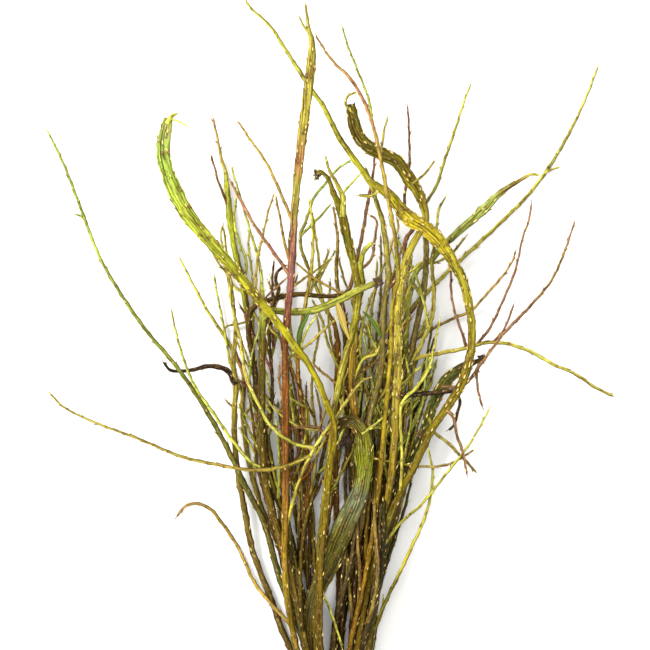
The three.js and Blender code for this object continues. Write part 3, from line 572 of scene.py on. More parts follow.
class Bark(Enum):
    """The barks in the bunch, each named for how it looks along its shoot."""

    # Every palette runs darker towards the cut end: partly the older bark's own browner colour, and partly
    # painted shade for the tight lower bunch.
    TAN = WillowBark("0 #3C2A0E, 0.45 #6C5822, 0.75 #8A7C28, 1 #9C9430")
    FRESH_GREEN = WillowBark("0 #3C2E0C, 0.35 #605410, 0.6 #86801C, 0.85 #A6AA2E, 1 #A6A238")
    BROWN = WillowBark("0 #36220A, 0.4 #623E10, 0.8 #865818, 1 #90741E")
    BROWN_TO_LIME = WillowBark(
        "0 #36220A, 0.4 #563410, 0.62 #7E4E16, 0.72 #A07C24, 0.86 #A8902C, 0.92 #A8A02C, "
        "1 #B0B23A")
    OLIVE = WillowBark(
        "0 #3A2B0A, 0.3 #5E4C0C, 0.5 #887A1E, 0.68 #A09832, 0.76 #8C821E, 0.85 #6E6410, 1 #5E5410")
    LIME = WillowBark(
        "0 #42300A, 0.3 #6C560E, 0.5 #8E7E12, 0.7 #B0A81E, 0.85 #B2BC3C, 0.95 #9CB64A, 1 #98984A",
        patches=0.7)
    PALE_GREEN = WillowBark(
        "0 #42300A, 0.3 #6C560E, 0.55 #84781A, 0.8 #949A3C, 0.92 #9EA850, 0.97 #8E6E38, 1 #8A5A34",
        patches=0.8)
    PALE_OLIVE = WillowBark(
        "0 #3A2B0A, 0.3 #6A560E, 0.46 #8C7420, 0.52 #98842A, 0.57 #BCA83C, 0.63 #CCBA4A, "
        "0.72 #C8B842, 0.77 #B4A634, 0.82 #7A6E18, 0.87 #6A6010, 1 #5E5410")
    DARK = WillowBark("0 #2A1C08, 0.5 #3E2C10, 1 #564212")
    GREY = WillowBark("0 #3A2A14, 0.5 #60502A, 0.8 #786C32, 1 #90882E")
    LONG_GREEN = WillowBark("0 #3E3412, 0.4 #625C24, 0.72 #6E782C, 1 #86A03E")
    DARK_OLIVE = WillowBark("0 #302608, 0.5 #38340C, 0.7 #3C4212, 0.88 #4C5618, 1 #3E2E14", patches=0.85)
    YELLOW = WillowBark(
        "0 #34320C, 0.2 #4A4010, 0.32 #6E5E10, 0.5 #8E7C16, 0.6 #A49A2C, 0.68 #C0AA20, "
        "0.78 #A8A22C, 1 #A0A03C")
    FAN = WillowBark(
        "0 #3E320C, 0.35 #605014, 0.5 #625814, 0.64 #625E1E, 0.7 #6A6A40, 0.75 #6C7052, "
        "0.79 #787C2A, 0.84 #7A8010, 0.89 #706C14, 0.94 #5C5016, 1 #44360E", bloom=0.12)
    ORANGE = WillowBark(
        "0 #56380A, 0.25 #74540E, 0.5 #8A7418, 0.7 #968828, 0.82 #A08A34, 0.9 #A8744A, 1 #B07A56")
    OLIVE_GREEN = WillowBark(
        "0 #382A0A, 0.45 #6A5614, 0.62 #665212, 0.75 #4E4410, 0.93 #5A4E16, 0.965 #7C7C26, "
        "0.98 #A2A63A, 1 #948C36")
    ROD = WillowBark(
        "0 #4E3A0C, 0.12 #6A540E, 0.2 #8A7210, 0.31 #927418, 0.38 #8C5C1E, 0.46 #8C5220, "
        "0.54 #804C20, 0.6 #824A34, 0.65 #945C58, 0.7 #9C6A50, 0.73 #9A8640, 0.77 #A49640, "
        "0.8 #B67E4E, 0.84 #AEA040, 1 #BAAE40", patch="#6E4426")


@dataclass(frozen=True)
class Twig:
    """A side shoot: how far it climbs from its root, and its route from above.

    Its hue runs from 0.1, wine red, through tan and yellow to 1, green, or is OWN or DEAD.
    """

    rise: float
    path: str
    leaf: bool = False
    hue: float = 0.68


@dataclass(frozen=True)
class StemPlan:
    """One cut stem: its node, its bark, its tip's own height, its main shoot and its twigs."""

    name: str
    bark: Bark
    tip: float
    cut_x: float
    path: str
    twigs: tuple[Twig, ...]
    hue: float = 0.68

    @property
    def main(self) -> Route:
        """The main shoot's knots: the cut end, the middle of the band, and on to the tip."""
        band, *rest = route_of(self.path)
        return ((self.cut_x, CUT_END, band[2]), band, *rest)


@dataclass(frozen=True)
class Tuft:
    """A knot of shrivelled leaves and buds: where it sits, how far it spreads, and how many."""

    x: float
    y: float
    lift: float
    reach: float
    count: int


# Blades that hang among the twigs, each on the stem named.
LEAVES: tuple[tuple[str, str], ...] = (
    ("stem_13_grey_fork", "71,532,1.6 66,541,4.5 60,553,6 52,564,4.5 43,572,1.2"),
    ("stem_09_dark_inner", "19,530,1.5 18,538,4 13,552,4.5 10,562,1.2"),
    ("stem_21_green_crossbar", "7,585,2 9,577,8 13,563,10 18,548,6.5 24,533,1.5"),
)

TUFTS: dict[str, Tuft] = {
    "stem_09_dark_inner": Tuft(18, 392, 5, 13, 34),
    "stem_14_dark_lobe": Tuft(210, 506, 0, 8, 18),
    "stem_20_forked_olive": Tuft(-21, 762, -2, 8, 24),
    "stem_21_green_crossbar": Tuft(62, 612, -2, 9, 44),
}

STEMS: tuple[StemPlan, ...] = (
    StemPlan("stem_01_tan_left", Bark.TAN, 0, -25, """
        -21,0,8.5 -33,90 -50,160 -68,225,7.5 -85,265 -97,290 -109,330 -117,360 -123,400,7 -126,440
        -124,480,6 -133,505 -152,538 -174,571,3.2 -192,603 -208,635 -215,650,1.6""", (
        Twig(8, "-110,335,3.5 -107,370 -101,398,2", hue=0.6),
        Twig(10, "-126,450,3.5 -131,470 -143,500 -150,540 -157,575 -162,600 -166,625,1.6", hue=0.75)),
        hue=0.72),
    StemPlan("stem_02_light_green", Bark.FRESH_GREEN, 12, -13, """
        -10.5,0,9 -22,90 -42,170 -62,250 -80,330 -93,400 -104,460 -113,520 -121,580,8.5 -127,620
        -136,655 -143,700 -147,740,8.5 -150,770,5 -155,785,3.6 -163,825 -168,846,1.8""", (
        Twig(12, "-147,715,3 -153,738 -160,755 -165,775 -171,793,1.6", hue=0.12),
        Twig(16, "-117,610,3.4 -120,640 -128,664 -136,690 -137,712 -133,735,1.8", hue=0.85),
        Twig(14, "-112,520,3 -110,575 -113,630 -117,660 -116,690,1.5", hue=0.7),
        Twig(6, "-125,600,3.2 -138,607 -150,628 -160,640 -168,657,2", hue=0.55),
        Twig(4, "-118,560,2.6 -139,553 -147,552 -153,546,1.4", hue=0.6)), hue=0.3),
    StemPlan("stem_03_brown_centre", Bark.BROWN, 60, 0, """
        0,0,8.5 8,100 10,200 6,300 4,380 6,440,9 8,520,9 4,552,6 -10,578,4.5 -22,605 -32,630 -43,660,3.8
        -44,680 -36,700 -25,732,3.2 -12,748 4,768 28,786,1.6""", (
        Twig(10, "-44,678,3.2 -30,692 -10,712 0,724,1.8", hue=0.85),
        Twig(30, "-12,580,3.2 -17,610 -18,640 -22,670 -27,708,1.6", hue=0.78),
        Twig(12, "8,500,3.2 -2,535 -5,575 -3,602 -2,616,1.8", hue=0.6)), hue=0.95),
    StemPlan("stem_04_far_right", Bark.OLIVE, 0, 13, """
        10.5,0,9 26,90 50,180 70,260 84,340 92,410 98,470,6.5 104,540 112,575,5 140,605 165,630
        200,662,4.4 238,698 275,735 305,775,3.6 333,822 360,880 374,918,1.6""", (
        Twig(20, "100,515,3.6 122,535 165,560 195,573,3 218,597 240,622 252,640 259,658,1.6", hue=0.38),
        Twig(8, "298,765,2.4 309,772 322,776,1.4", hue=0.7)), hue=0.74),
    StemPlan("stem_05_right_ribbon", Bark.PALE_GREEN, 52, 25, """
        21,0,9 36,90 60,180 78,260 90,340 97,410 101,470,8 104,530 107,580,7 118,628 140,645 160,668,8
        185,690,11 213,715,12.5 238,740,9 262,755,5.5 278,764 292,763,2.2""", (
        Twig(6, "130,637,3.4 147,641 170,656 189,678,1.8", hue=0.6),
        Twig(18, "140,645,3.2 146,680 150,715 160,735,1.8", hue=0.7)), hue=0.72),
    StemPlan("stem_06_dark_left", Bark.TAN, 46, -31, """
        -26.5,0,9 -61,103,9 -73,131 -83,161 -98,199 -112,238,8.5 -123,295 -131,340 -136,380,8 -137,430
        -135,470,7.5 -139,500 -136,530,6.5 -136,550,4 -140,600,3.2 -146,640 -152,690,1.6""", (
        Twig(10, "-136,470,7 -145,487,7.5 -158,494 -175,495 -192,491,5.5 -212,488 -227,490,3.5 "
             "-238,502,2.2", hue=DEAD),
        Twig(6, "-137,436,2.4 -143,441 -151,450,1.4", hue=0.5)), hue=0.6),
    StemPlan("stem_07_dark_bent", Bark.DARK, 96, -19, """
        -16,0,8.5 -30,90 -42,170 -54,240 -68,285 -77,312 -91,360,8 -95,400 -104,440 -110,500
        -117,545,7.5 -113,573 -98,584 -80,590 -50,596,7 -20,594 8,594,5.5 24,603 30,625,4.6 36,650
        44,688 50,725,4 57,760 60,790,1.8""", (
        Twig(8, "-95,400,4 -86,430 -84,480 -88,540 -80,590 -74,603,5 -79,615 -77,627 -63,637,3", hue=OWN),
        Twig(12, "30,625,3.6 44,634 55,645 60,675 62,700 52,708,1.8", hue=0.35),
        Twig(10, "-30,596,3 -22,620 -10,640 -4,660,1.8", hue=0.62)), hue=0.12),
    StemPlan("stem_08_orange_inner", Bark.BROWN, 70, -6, """
        -5.5,0,8.5 -30,90 -48,180,7 -41,240 -37,290 -33,330 -36,390 -42,440,6.5 -48,490 -44,540
        -36,590,4.5 -28,640 -27,690,3 -32,730,1.8""", (
        Twig(12, "-35,300,4 -25,340 -22,400 -28,450 -26,500,2.6 -18,545 -22,570,1.8", hue=0.6),
        Twig(8, "-45,500,3 -60,520 -84,545,2 -89,552,1.4", hue=0.66)), hue=0.74),
    StemPlan("stem_09_dark_inner", Bark.DARK, 66, 6, """
        5.5,0,8.5 12,100 20,180 27,260 28,330 22,400,8 20,450 21,500 17,545 10,590,5.5 6,630 8,670,3.4
        2,720,1.8""", (
        Twig(14, "24,380,4.5 36,430 42,480 40,530,3.5 47,570 58,600,2", hue=0.7),
        Twig(8, "18,470,4 4,505 -6,528,3 -14,560 -28,590,1.8", hue=0.62)), hue=0.5),
    StemPlan("stem_10_brown_pink", Bark.BROWN_TO_LIME, 92, 19, """
        16,0,9 26,98,9 31,150 38,185 45,220,8 50,290 46,340 38,390 31,430,10 28,480,11 31,530,10.5
        35,575,9 42,612,8 40,635 44,655 57,668,6""", (
        Twig(10, "29,470,4 44,505,5 60,512 70,530,3 62,560,2", hue=0.66),
        Twig(6, "30,450,3.4 14,465,3 -8,482 -30,500 -52,510,1.6", hue=0.3)), hue=0.75),
    StemPlan("stem_11_grey_brown", Bark.GREY, 84, 31, """
        26.5,0,9 40,90 62,180 78,270 88,350 93,420,8.5 99,475 110,510 118,550,8.5 127,590 131,625
        132,665,8 130,700,6 131,722,4.2 145,745 158,785 172,825,3 188,875 195,893,1.6""", (
        Twig(14, "102,490,5 112,503,5 150,513 185,520 215,528 245,527 280,515,4.6 310,498 340,485 370,465 "
             "396,453,3.4", hue=0.64),
        Twig(12, "106,498,5.5 125,525 140,565,6 143,600 140,640,4 146,672,2", hue=0.55),
        Twig(26, "205,525,3.2 222,550 240,588 257,630 268,678 276,700 279,726,1.6", hue=0.2),
        Twig(12, "226,529,2.8 240,545 250,568 256,584,1.5", hue=0.25),
        Twig(18, "188,521,3 182,543 172,572 167,600 167,636,1.6", hue=0.15),
        Twig(8, "127,590,4 112,612 103,590,3.6 98,560,2.4", hue=0.6)), hue=0.74),
    StemPlan("stem_12_long_green", Bark.LONG_GREEN, 120, -25, """
        -21,0,9 -38,100,9.5 -53,147 -74,200 -97,280,8.5 -118,320 -138,362,7.5 -160,405 -190,455,6
        -222,500 -260,545,5 -299,602 -326,650,4 -350,713 -376,780,3 -400,828,1.6""", (
        Twig(4, "-344,697,2.4 -353,706 -362,708,1.4", hue=0.8),), hue=0.92),
    StemPlan("stem_13_grey_fork", Bark.GREY, 104, 0, """
        0,0,9 2,110,9 13,170 28,215 44,290,9 54,380,8.5 53,425 63,460,9 70,500 71,540 74,590,8 79,620
        76,660,7.5 70,700 60,732,6 54,752,3.4 47,775,1.8""", (
        Twig(6, "57,440,5.5 70,454,5.5 79,473 83,500 80,530,2.6", hue=0.62),
        Twig(12, "75,603,5 97,626,5 101,650 104,675,5.5 114,688,5 103,708,3.4 102,738 108,772 108,815 "
             "106,861,1.6", hue=0.15),
        Twig(8, "77,642,2.8 84,668 93,690 90,706,1.6", hue=0.55)), hue=0.66),
    StemPlan("stem_14_dark_lobe", Bark.DARK_OLIVE, 64, 25, """
        21,0,9 44,90 58,170 74,240,10 92,308,11 104,340,12 122,385,14 133,415,15 143,445,15 161,476,18
        188,496,12 203,502,7 214,508,3.5""", (
        Twig(24, "158,466,4.4 183,468,4 212,503 240,540 280,582,3.4 309,618 328,662 340,700,1.6", hue=0.3),
        Twig(4, "138,420,4 146,400 160,390 182,368,3.4 204,345,2.4", hue=0.55),
        Twig(6, "206,504,3 203,480 206,455 212,436,1.8", hue=0.3)), hue=0.5),
    StemPlan("stem_15_thin_yellow", Bark.YELLOW, 58, 37, """
        33,0,5.5 57,98,5 62,128 77,168,4.4 94,203 113,244 129,280,3.6 138,313 141,350,2.6 134,380,1.6""", (
        Twig(3, "70,148,3 72,160 72,172,1.6", hue=0.6),), hue=0.74),
    StemPlan("stem_16_hooked_fan", Bark.FAN, 78, -14, """
        -11.5,0,11 -34,98,15 -30,150,20 -16,191,24 -1,221,27 10,252,29 23,284,29 37,315,25 45,349,23
        46,378,23 41,403,22 28,418,20 12,414,15 4,404,9""", (
        Twig(10, "52,366,3 80,362 119,355 164,358 200,379,1.6", hue=0.42),
        Twig(4, "52,404,3.4 70,421 86,434,2", hue=0.72)), hue=0.6),
    StemPlan("stem_17_olive_hook", Bark.PALE_OLIVE, 128, 12, """
        10.5,0,10 35,98,9.5 41,130 52,190 62,230 76,300 83,340,9.5 88,400,11 92,480,12 92,560,12
        98,620,11.5 108,655,10.5 121,680,10 131,700,10 128,720,12 119,741,15 106,760,17.5 90,782,18
        72,791,18 54,800,17.5 40,813,17.5 31,833,17 27,858,14""", (
        Twig(4, "90,452,6.5 118,456,6.5 150,458 172,459,5 179,448,3.6 176,430 170,411 162,405,1.8",
             hue=DEAD),
        Twig(8, "29,850,3 19,862 22,873 35,878,1.8", hue=0.6),
        Twig(14, "68,793,3 72,820 78,845,1.6", hue=0.62),
        Twig(12, "114,750,3 125,760 145,783,1.6", hue=0.74),
        Twig(8, "96,600,4 104,622 118,634 126,642,2.6", hue=0.6)), hue=0.62),
    StemPlan("stem_18_arched_ribbon", Bark.YELLOW, 150, 19, """
        16,0,10 51,100,10.5 57,150 63,200 75,265 95,315,9.5 118,360 142,410,10.5 163,440,11.5
        183,475,12.5 195,520,11 195,560,11 183,615,13 171,638,14.5 156,662,17.5 132,687,20.5 106,703,21
        79,736,13 55,752,10 38,775,8.5 10,815,7.5 -12,858,6.5 -33,888,6 -60,930,4.6 -88,972,3.6
        -108,990,3 -122,1006,1.6""", (
        Twig(8, "66,238,3.6 95,274,3.4 125,301 162,347,2.6 191,384 211,417 221,437,1.5", hue=0.74),
        Twig(-3, "67,744,5 55,734,4.4 36,734,3.4", hue=0.7),
        Twig(6, "158,434,4.5 170,424,4 174,402,3 184,372,2.4 189,342,1.5", hue=0.22),
        Twig(14, "96,320,4 98,370,3.6 96,420 98,444 118,465,3.6 135,490 144,525 151,562,1.6", hue=0.76)),
        hue=0.66),
    StemPlan("stem_19_orange_climber", Bark.ORANGE, 172, 6, """
        5.5,0,7 24,98,7 45,190 60,280 68,350 74,420 80,480,6.5 83,530 86,590,6 93,620 90,660,5.5 83,705
        77,735 68,785,5 56,835 43,868 25,897,4 0,922 -23,957,1.6""", (
        Twig(16, "57,833,3.2 51,868 36,907 20,948 14,972,1.5", hue=0.93),), hue=0.3),
    StemPlan("stem_20_forked_olive", Bark.OLIVE, 138, -6, """
        -5,0,9 -22,98,8.5 -20,160 -17,240 -12,290 -6,345 0,400,9 6,450 17,500 30,550,9 37,600,9.5
        30,640,11 20,680,12.5 12,715,12 3,735,8 -6,758,6 -18,768,5 -24,757,2.6""", (
        Twig(6, "13,705,8 15,732,7 8,748,5 -4,770,3.4 -10,790,1.8", hue=0.72),
        Twig(8, "13,736,3 28,752 40,764,1.6", hue=0.85),
        Twig(6, "34,590,3.4 0,604 -32,624 -52,642,1.6", hue=0.4),
        Twig(8, "-20,190,3 -8,166 4,134 15,98,1.8", hue=0.8),
        Twig(6, "-1,392,3.4 -24,410 -60,408 -90,413,1.6", hue=0.08)), hue=0.55),
    StemPlan("stem_21_green_crossbar", Bark.OLIVE_GREEN, 112, -19, """
        -15.5,0,9 -34,90 -50,165 -66,235,9 -85,295 -96,350,9 -99,410,9.5 -98,470 -98,520,10 -96,560,10
        -95,579,9""", (
        Twig(6, "-97,560,8 -85,572,9.5 -55,571,10 -25,574,11 0,583,11 30,598,10.5 62,613,7", hue=OWN),
        Twig(6, "-96,352,4.6 -112,360,4.2 -140,392 -168,432,3.6 -192,467 -208,506 -219,545 "
             "-226,577,1.5", hue=0.86),
        Twig(22, "-96,572,3.6 -98,612 -103,645 -114,683 -127,728 -141,776,1.5", hue=0.8),
        Twig(22, "-97,560,3.4 -106,600 -104,645 -96,680 -90,708 -81,738,1.6", hue=0.5)), hue=OWN),
    StemPlan("stem_22_red_rod", Bark.ROD, 214, -13, """
        -10.5,0,9 -50,100,9 -55,125 -62,165 -66,215 -66,262,9 -65,320,10 -65,400 -65,480 -66,530 -62,570
        -57,620,10 -53,700,10 -50,740,11 -44,795,13 -36,859,13.5 -29,915,13 -28,945,9 -33,968,5
        -37,1002,1.6""", (
        Twig(10, "-66,262,4.6 -58,292,4.6 -43,342 -20,388,4.2 8,427 30,460,3.4 42,474 54,479,2", hue=0.73),
        Twig(12, "-28,372,5 -60,357,4.6 -105,350 -165,358,4.2 -210,368 -270,393,3.6 -334,417 -379,440 "
             "-398,461,1.8", hue=0.63),
        Twig(16, "-24,380,5 -50,386,4.6 -84,410 -104,445 -120,480,4 -128,530 -141,585,3.4 -146,625 "
             "-156,680 -153,694,1.5", hue=0.75),
        Twig(-22, "-57,132,5 -80,156,4.8 -107,188 -132,240,4.2 -155,275 -172,295,4 -190,302 -205,299,3.2 "
             "-219,282,1.8", hue=0.48),
        Twig(24, "-58,618,4.4 -82,655,4.2 -110,695 -128,728,3.6 -143,755,2", hue=0.22),
        Twig(20, "-54,694,4 -70,733,3.8 -92,780 -120,820 -131,838,1.6", hue=0.5),
        Twig(12, "-58,636,3.8 -67,670,3.4 -72,700 -79,733,1.6", hue=0.46),
        Twig(6, "-65,506,3.2 -38,522,3 -5,552,2.4 5,559,1.6", hue=0.6),
        Twig(8, "-46,518,3 -38,540 -22,566,1.6", hue=0.8),
        Twig(8, "-46,519,1.8 -47,532,5 -43,549,7.5 -36,563,5.5 -30,573,1.2", leaf=True),
        Twig(4, "-31,958,2.6 -41,972 -47,984,1.4", hue=0.7)), hue=0.66),
    StemPlan("stem_23_lime_ribbon", Bark.LIME, 190, 1, """
        0.5,0,9 -16,98,8.5 -17,160 -14,240 -8,300 -3,350 3,388 3,412,9 -8,445 -28,490,9 -56,530,10
        -85,568,11 -112,600,13 -145,640,15.5 -175,675,17.5 -200,705,20 -218,738,21.5 -232,775,21
        -235,803,20 -229,838,15""", (
        Twig(6, "-229,834,6 -222,845,4.5 -214,848,2.4", hue=0.86),
        Twig(4, "-226,838,2.4 -212,836 -200,828,1.4", hue=0.8)), hue=0.85),
)


@dataclass(eq=False)
class Shoot:
    """One shoot's wood as samples from its root to its tip, in millimetres."""

    x: Array
    y: Array
    run: Array
    width: Array
    half: Array
    rise: Array
    leaf: bool = False
    hue: float = OWN
    tone: float = 1.0
    parent: Optional["Shoot"] = None
    root_run: float = 0.0
    index: int = 0
    z: Array = field(default_factory=lambda: np.zeros(0))

    @property
    def length(self) -> float:
        """Length of the wood from its root to its tip."""
        return float(self.run[-1])

    @property
    def rim(self) -> float:
        """About how long the way round the wood is where it is thickest."""
        return 2 * (self.width.max() + self.rise.max())

    def at(self, runs: Array) -> dict[str, Array]:
        """Gives the wood at some runs.

        Args:
            runs: distances along the wood from its root.

        Returns:
            Each of x, y, z, width, half and rise there.
        """
        keys = ("x", "y", "z", "width", "half", "rise")
        return {key: np.interp(runs, self.run, getattr(self, key)) for key in keys}


def follow(route: Route, leaf: bool = False) -> Shoot:
    """Follows a route in short steps along a centripetal spline.

    Args:
        route: the route's knots as (x, y) or (x, y, width).
        leaf: whether it is a leaf's midrib, one millimetre deep.

    Returns:
        The shoot, still with no height.
    """
    knots = np.array([knot[:2] for knot in route], float)
    padded = np.vstack([2 * knots[0] - knots[1], knots, 2 * knots[-1] - knots[-2]])
    places, knot_runs = [knots[0]], [0]
    for k in range(len(knots) - 1):
        p0, p1, p2, p3 = padded[k:k + 4]
        d0, d1, d2 = (np.linalg.norm(b - a) ** 0.5 for a, b in ((p0, p1), (p1, p2), (p2, p3)))
        leave = ((p1 - p0) / d0 - (p2 - p0) / (d0 + d1) + (p2 - p1) / d1) * d1
        arrive = ((p2 - p1) / d1 - (p3 - p1) / (d1 + d2) + (p3 - p2) / d2) * d1
        parts = math.ceil(np.linalg.norm(p2 - p1) / STEP)
        for t in np.arange(1, parts + 1) / parts:
            bend = (3 * (p2 - p1) - 2 * leave - arrive) * t**2
            places.append(p1 + leave * t + bend + (2 * (p1 - p2) + leave + arrive) * t**3)
        knot_runs.append(len(places) - 1)
    places = np.array(places)
    run = np.concatenate([[0], np.cumsum(np.linalg.norm(np.diff(places, axis=0), axis=1))])
    given = [(run[at], knot[2]) for at, knot in zip(knot_runs, route) if len(knot) > 2]
    width = np.interp(run, *zip(*given))
    full = np.maximum(RIBBON_DEPTH, ROUND_WIDTH - (width - ROUND_WIDTH) * FLATTENING)
    depth = np.ones_like(width) if leaf else np.minimum(width, full)
    return Shoot(places[:, 0], places[:, 1], run, width, width / 2, depth / 2, leaf)


def nearest(shoots: Sequence[Shoot], x: float, y: float) -> tuple[Shoot, int]:
    """Finds the sample that lies nearest to a place, seen from above.

    Args:
        shoots: the wood to search.
        x: the place across the bunch.
        y: the place along the bunch.

    Returns:
        The shoot and the sample's number on it.
    """
    gaps = [np.hypot(shoot.x - x, shoot.y - y) for shoot in shoots]
    best = min(range(len(shoots)), key=lambda i: gaps[i].min())
    return shoots[best], int(gaps[best].argmin())


def way_between(a: Shoot, run_a: Any, b: Shoot, run_b: Any) -> Any:
    """Measures the way through the wood between places on two shoots of one stem.

    Args:
        a: one shoot.
        run_a: one or more runs on it.
        b: the other shoot.
        run_b: one or more runs on that.

    Returns:
        The way, with the shape that the two runs give together.
    """
    way = 0.0
    while a is not b:
        if a.index < b.index:
            a, b, run_a, run_b = b, a, run_b, run_a
        way = way + run_a
        a, run_a = a.parent, a.root_run
    return way + np.abs(run_a - run_b)


def give(way: Array, reach: float) -> Array:
    """Share of a lift that wood takes at some way from where it is lifted."""
    return np.where(np.abs(way) < reach, (1 - (way / reach) ** 2) ** 2, 0.0)


@dataclass
class Pieces:
    """Short straight pieces of wood that later stems lie over."""

    ends: dict[str, Array]

    @classmethod
    def of(cls, shoots: Sequence[Shoot]) -> "Pieces":
        """Cuts shoots into the pieces between their samples.

        Args:
            shoots: the wood.

        Returns:
            The pieces.
        """
        ends: dict[str, Array] = {}
        for key in ("x", "y", "z", "half", "rise", "width", "run"):
            ends[key + "_a"] = np.concatenate([getattr(s, key)[:-1] for s in shoots])
            ends[key + "_b"] = np.concatenate([getattr(s, key)[1:] for s in shoots])
        return cls(ends)

    def joined(self, other: "Pieces") -> "Pieces":
        """Adds the pieces of another stem."""
        return Pieces({k: np.concatenate([v, other.ends[k]]) for k, v in self.ends.items()})

    def height_over(self, shoot: Shoot, gap: Array) -> Array:
        """Finds how high samples must lie to clear each piece.

        Args:
            shoot: the shoot whose samples lie over the pieces.
            gap: the gap to keep at each sample.

        Returns:
            Heights, one row for each sample and one column for each piece.
        """
        e = self.ends
        x, y, half, rise, width = (
            getattr(shoot, key)[:, None] for key in ("x", "y", "half", "rise", "width"))
        gap = gap[:, None]
        room = (half + np.maximum(e["half_a"], e["half_b"])) * CORNER + gap
        dx, dy = e["x_b"] - e["x_a"], e["y_b"] - e["y_a"]
        t = np.clip(((x - e["x_a"]) * dx + (y - e["y_a"]) * dy) / (dx**2 + dy**2), 0, 1)
        away = np.hypot(x - e["x_a"] - dx * t, y - e["y_a"] - dy * t)
        under = e["rise_a"] + (e["rise_b"] - e["rise_a"]) * t
        stack = (rise + under) * CORNER + gap
        power = np.where(np.maximum(width, e["width_a"]) > RIBBON_WIDTH, RIBBON_ROUNDING, 2)
        share = np.clip(1 - (np.minimum(away, room) / room) ** power, 0, 1) ** (1 / power)
        height = e["z_a"] + (e["z_b"] - e["z_a"]) * t + stack * share
        return np.where(away < room, height, -np.inf)


@dataclass
class Layering:
    """Lays the stems over one another in the order in which they are listed."""

    plans: tuple[StemPlan, ...]

    def grow(self, plan: StemPlan) -> list[Shoot]:
        """Grows a stem's shoots as they would lie by themselves.

        Args:
            plan: the stem.

        Returns:
            The main shoot, then each twig from its root.
        """
        main = plan.main
        trunk = follow(main)
        trunk.hue = plan.hue
        tie = nearest([trunk], *main[1][:2])[1]
        out = np.clip((trunk.run - trunk.run[tie]) / (trunk.length - trunk.run[tie]), 0, 1)
        band_height = BAND_THICKNESS + TOUCH_GAP + trunk.rise[0] * FLAT_DEPTH
        trunk.z = np.maximum(trunk.rise, band_height + (plan.tip - band_height) * smooth(out))
        shoots = [trunk]
        for twig in plan.twigs:
            foot, *rest = route_of(twig.path)
            parent, at = nearest(shoots, *foot[:2])
            root = (parent.x[at], parent.y[at], foot[2])
            shoot = follow((root, *rest), twig.leaf)
            shoot.z = np.maximum(shoot.rise, parent.z[at] + twig.rise * shoot.run / shoot.length)
            shoot.parent, shoot.root_run, shoot.index = parent, parent.run[at], len(shoots)
            shoot.hue = twig.hue
            shoots.append(shoot)
        return shoots

    def lay_over(self, shoots: list[Shoot], under: Pieces) -> None:
        """Lifts a stem in long bends where it would touch the wood under it.

        Args:
            shoots: the stem.
            under: all the wood that lies lower.
        """
        lifts = []
        for shoot in shoots:
            loose = (np.abs(shoot.y) - TIGHT_REACH) / (LOOSE_REACH - TIGHT_REACH)
            gap = TOUCH_GAP + (CROSS_GAP - TOUCH_GAP) * smooth(loose)
            lift = under.height_over(shoot, gap).max(axis=1) - shoot.z
            lifts.append((shoot, shoot.run[lift > 0], lift[lift > 0]))
        ups = []
        for shoot in shoots:
            up = np.zeros_like(shoot.z)
            for source, runs, lift in lifts:
                if len(runs):
                    way = way_between(shoot, shoot.run[:, None], source, runs[None, :])
                    up = np.maximum(up, (lift * give(way, GIVE)).max(axis=1))
            ups.append(up)
        for shoot, up in zip(shoots, ups):
            shoot.z = shoot.z + up

    def lay_over_own(self, shoots: list[Shoot]) -> None:
        """Lays each twig over the earlier wood of its own stem, once it is clear of its root.

        Args:
            shoots: the stem.
        """
        for shoot in shoots[1:]:
            up = np.zeros_like(shoot.z)
            for other in shoots[:shoot.index]:
                way = way_between(shoot, shoot.run[:, None], other, other.run[None, :-1])
                lift = Pieces.of([other]).height_over(shoot, np.full(len(shoot.z), CROSS_GAP))
                lift = np.where(way < OWN_REACH, 0, lift - shoot.z[:, None]).max(axis=1)
                held = np.maximum(lift, 0)[None, :] * give(shoot.run[:, None] - shoot.run, OWN_GIVE)
                up = np.maximum(up, held.max(axis=1))
            shoot.z = shoot.z + up * smooth(shoot.run / OWN_GIVE)

    def root_twigs(self, shoots: list[Shoot]) -> None:
        """Moves each twig's root onto the wood that carries it, fading out along the twig.

        Args:
            shoots: the stem.
        """
        for shoot in shoots[1:]:
            drop = np.interp(shoot.root_run, shoot.parent.run, shoot.parent.z) - shoot.z[0]
            shoot.z = shoot.z + drop * (1 - smooth(shoot.run / OWN_GIVE))

    def lay(self) -> list[list[Shoot]]:
        """Lays every stem.

        Returns:
            Each stem's shoots, in the order of the plans.
        """
        laid: list[list[Shoot]] = []
        under: Optional[Pieces] = None
        for plan in self.plans:
            shoots = self.grow(plan)
            if under:
                self.lay_over(shoots, under)
            self.lay_over_own(shoots)
            self.root_twigs(shoots)
            pieces = Pieces.of(shoots)
            under = under.joined(pieces) if under else pieces
            laid.append(shoots)
        return laid


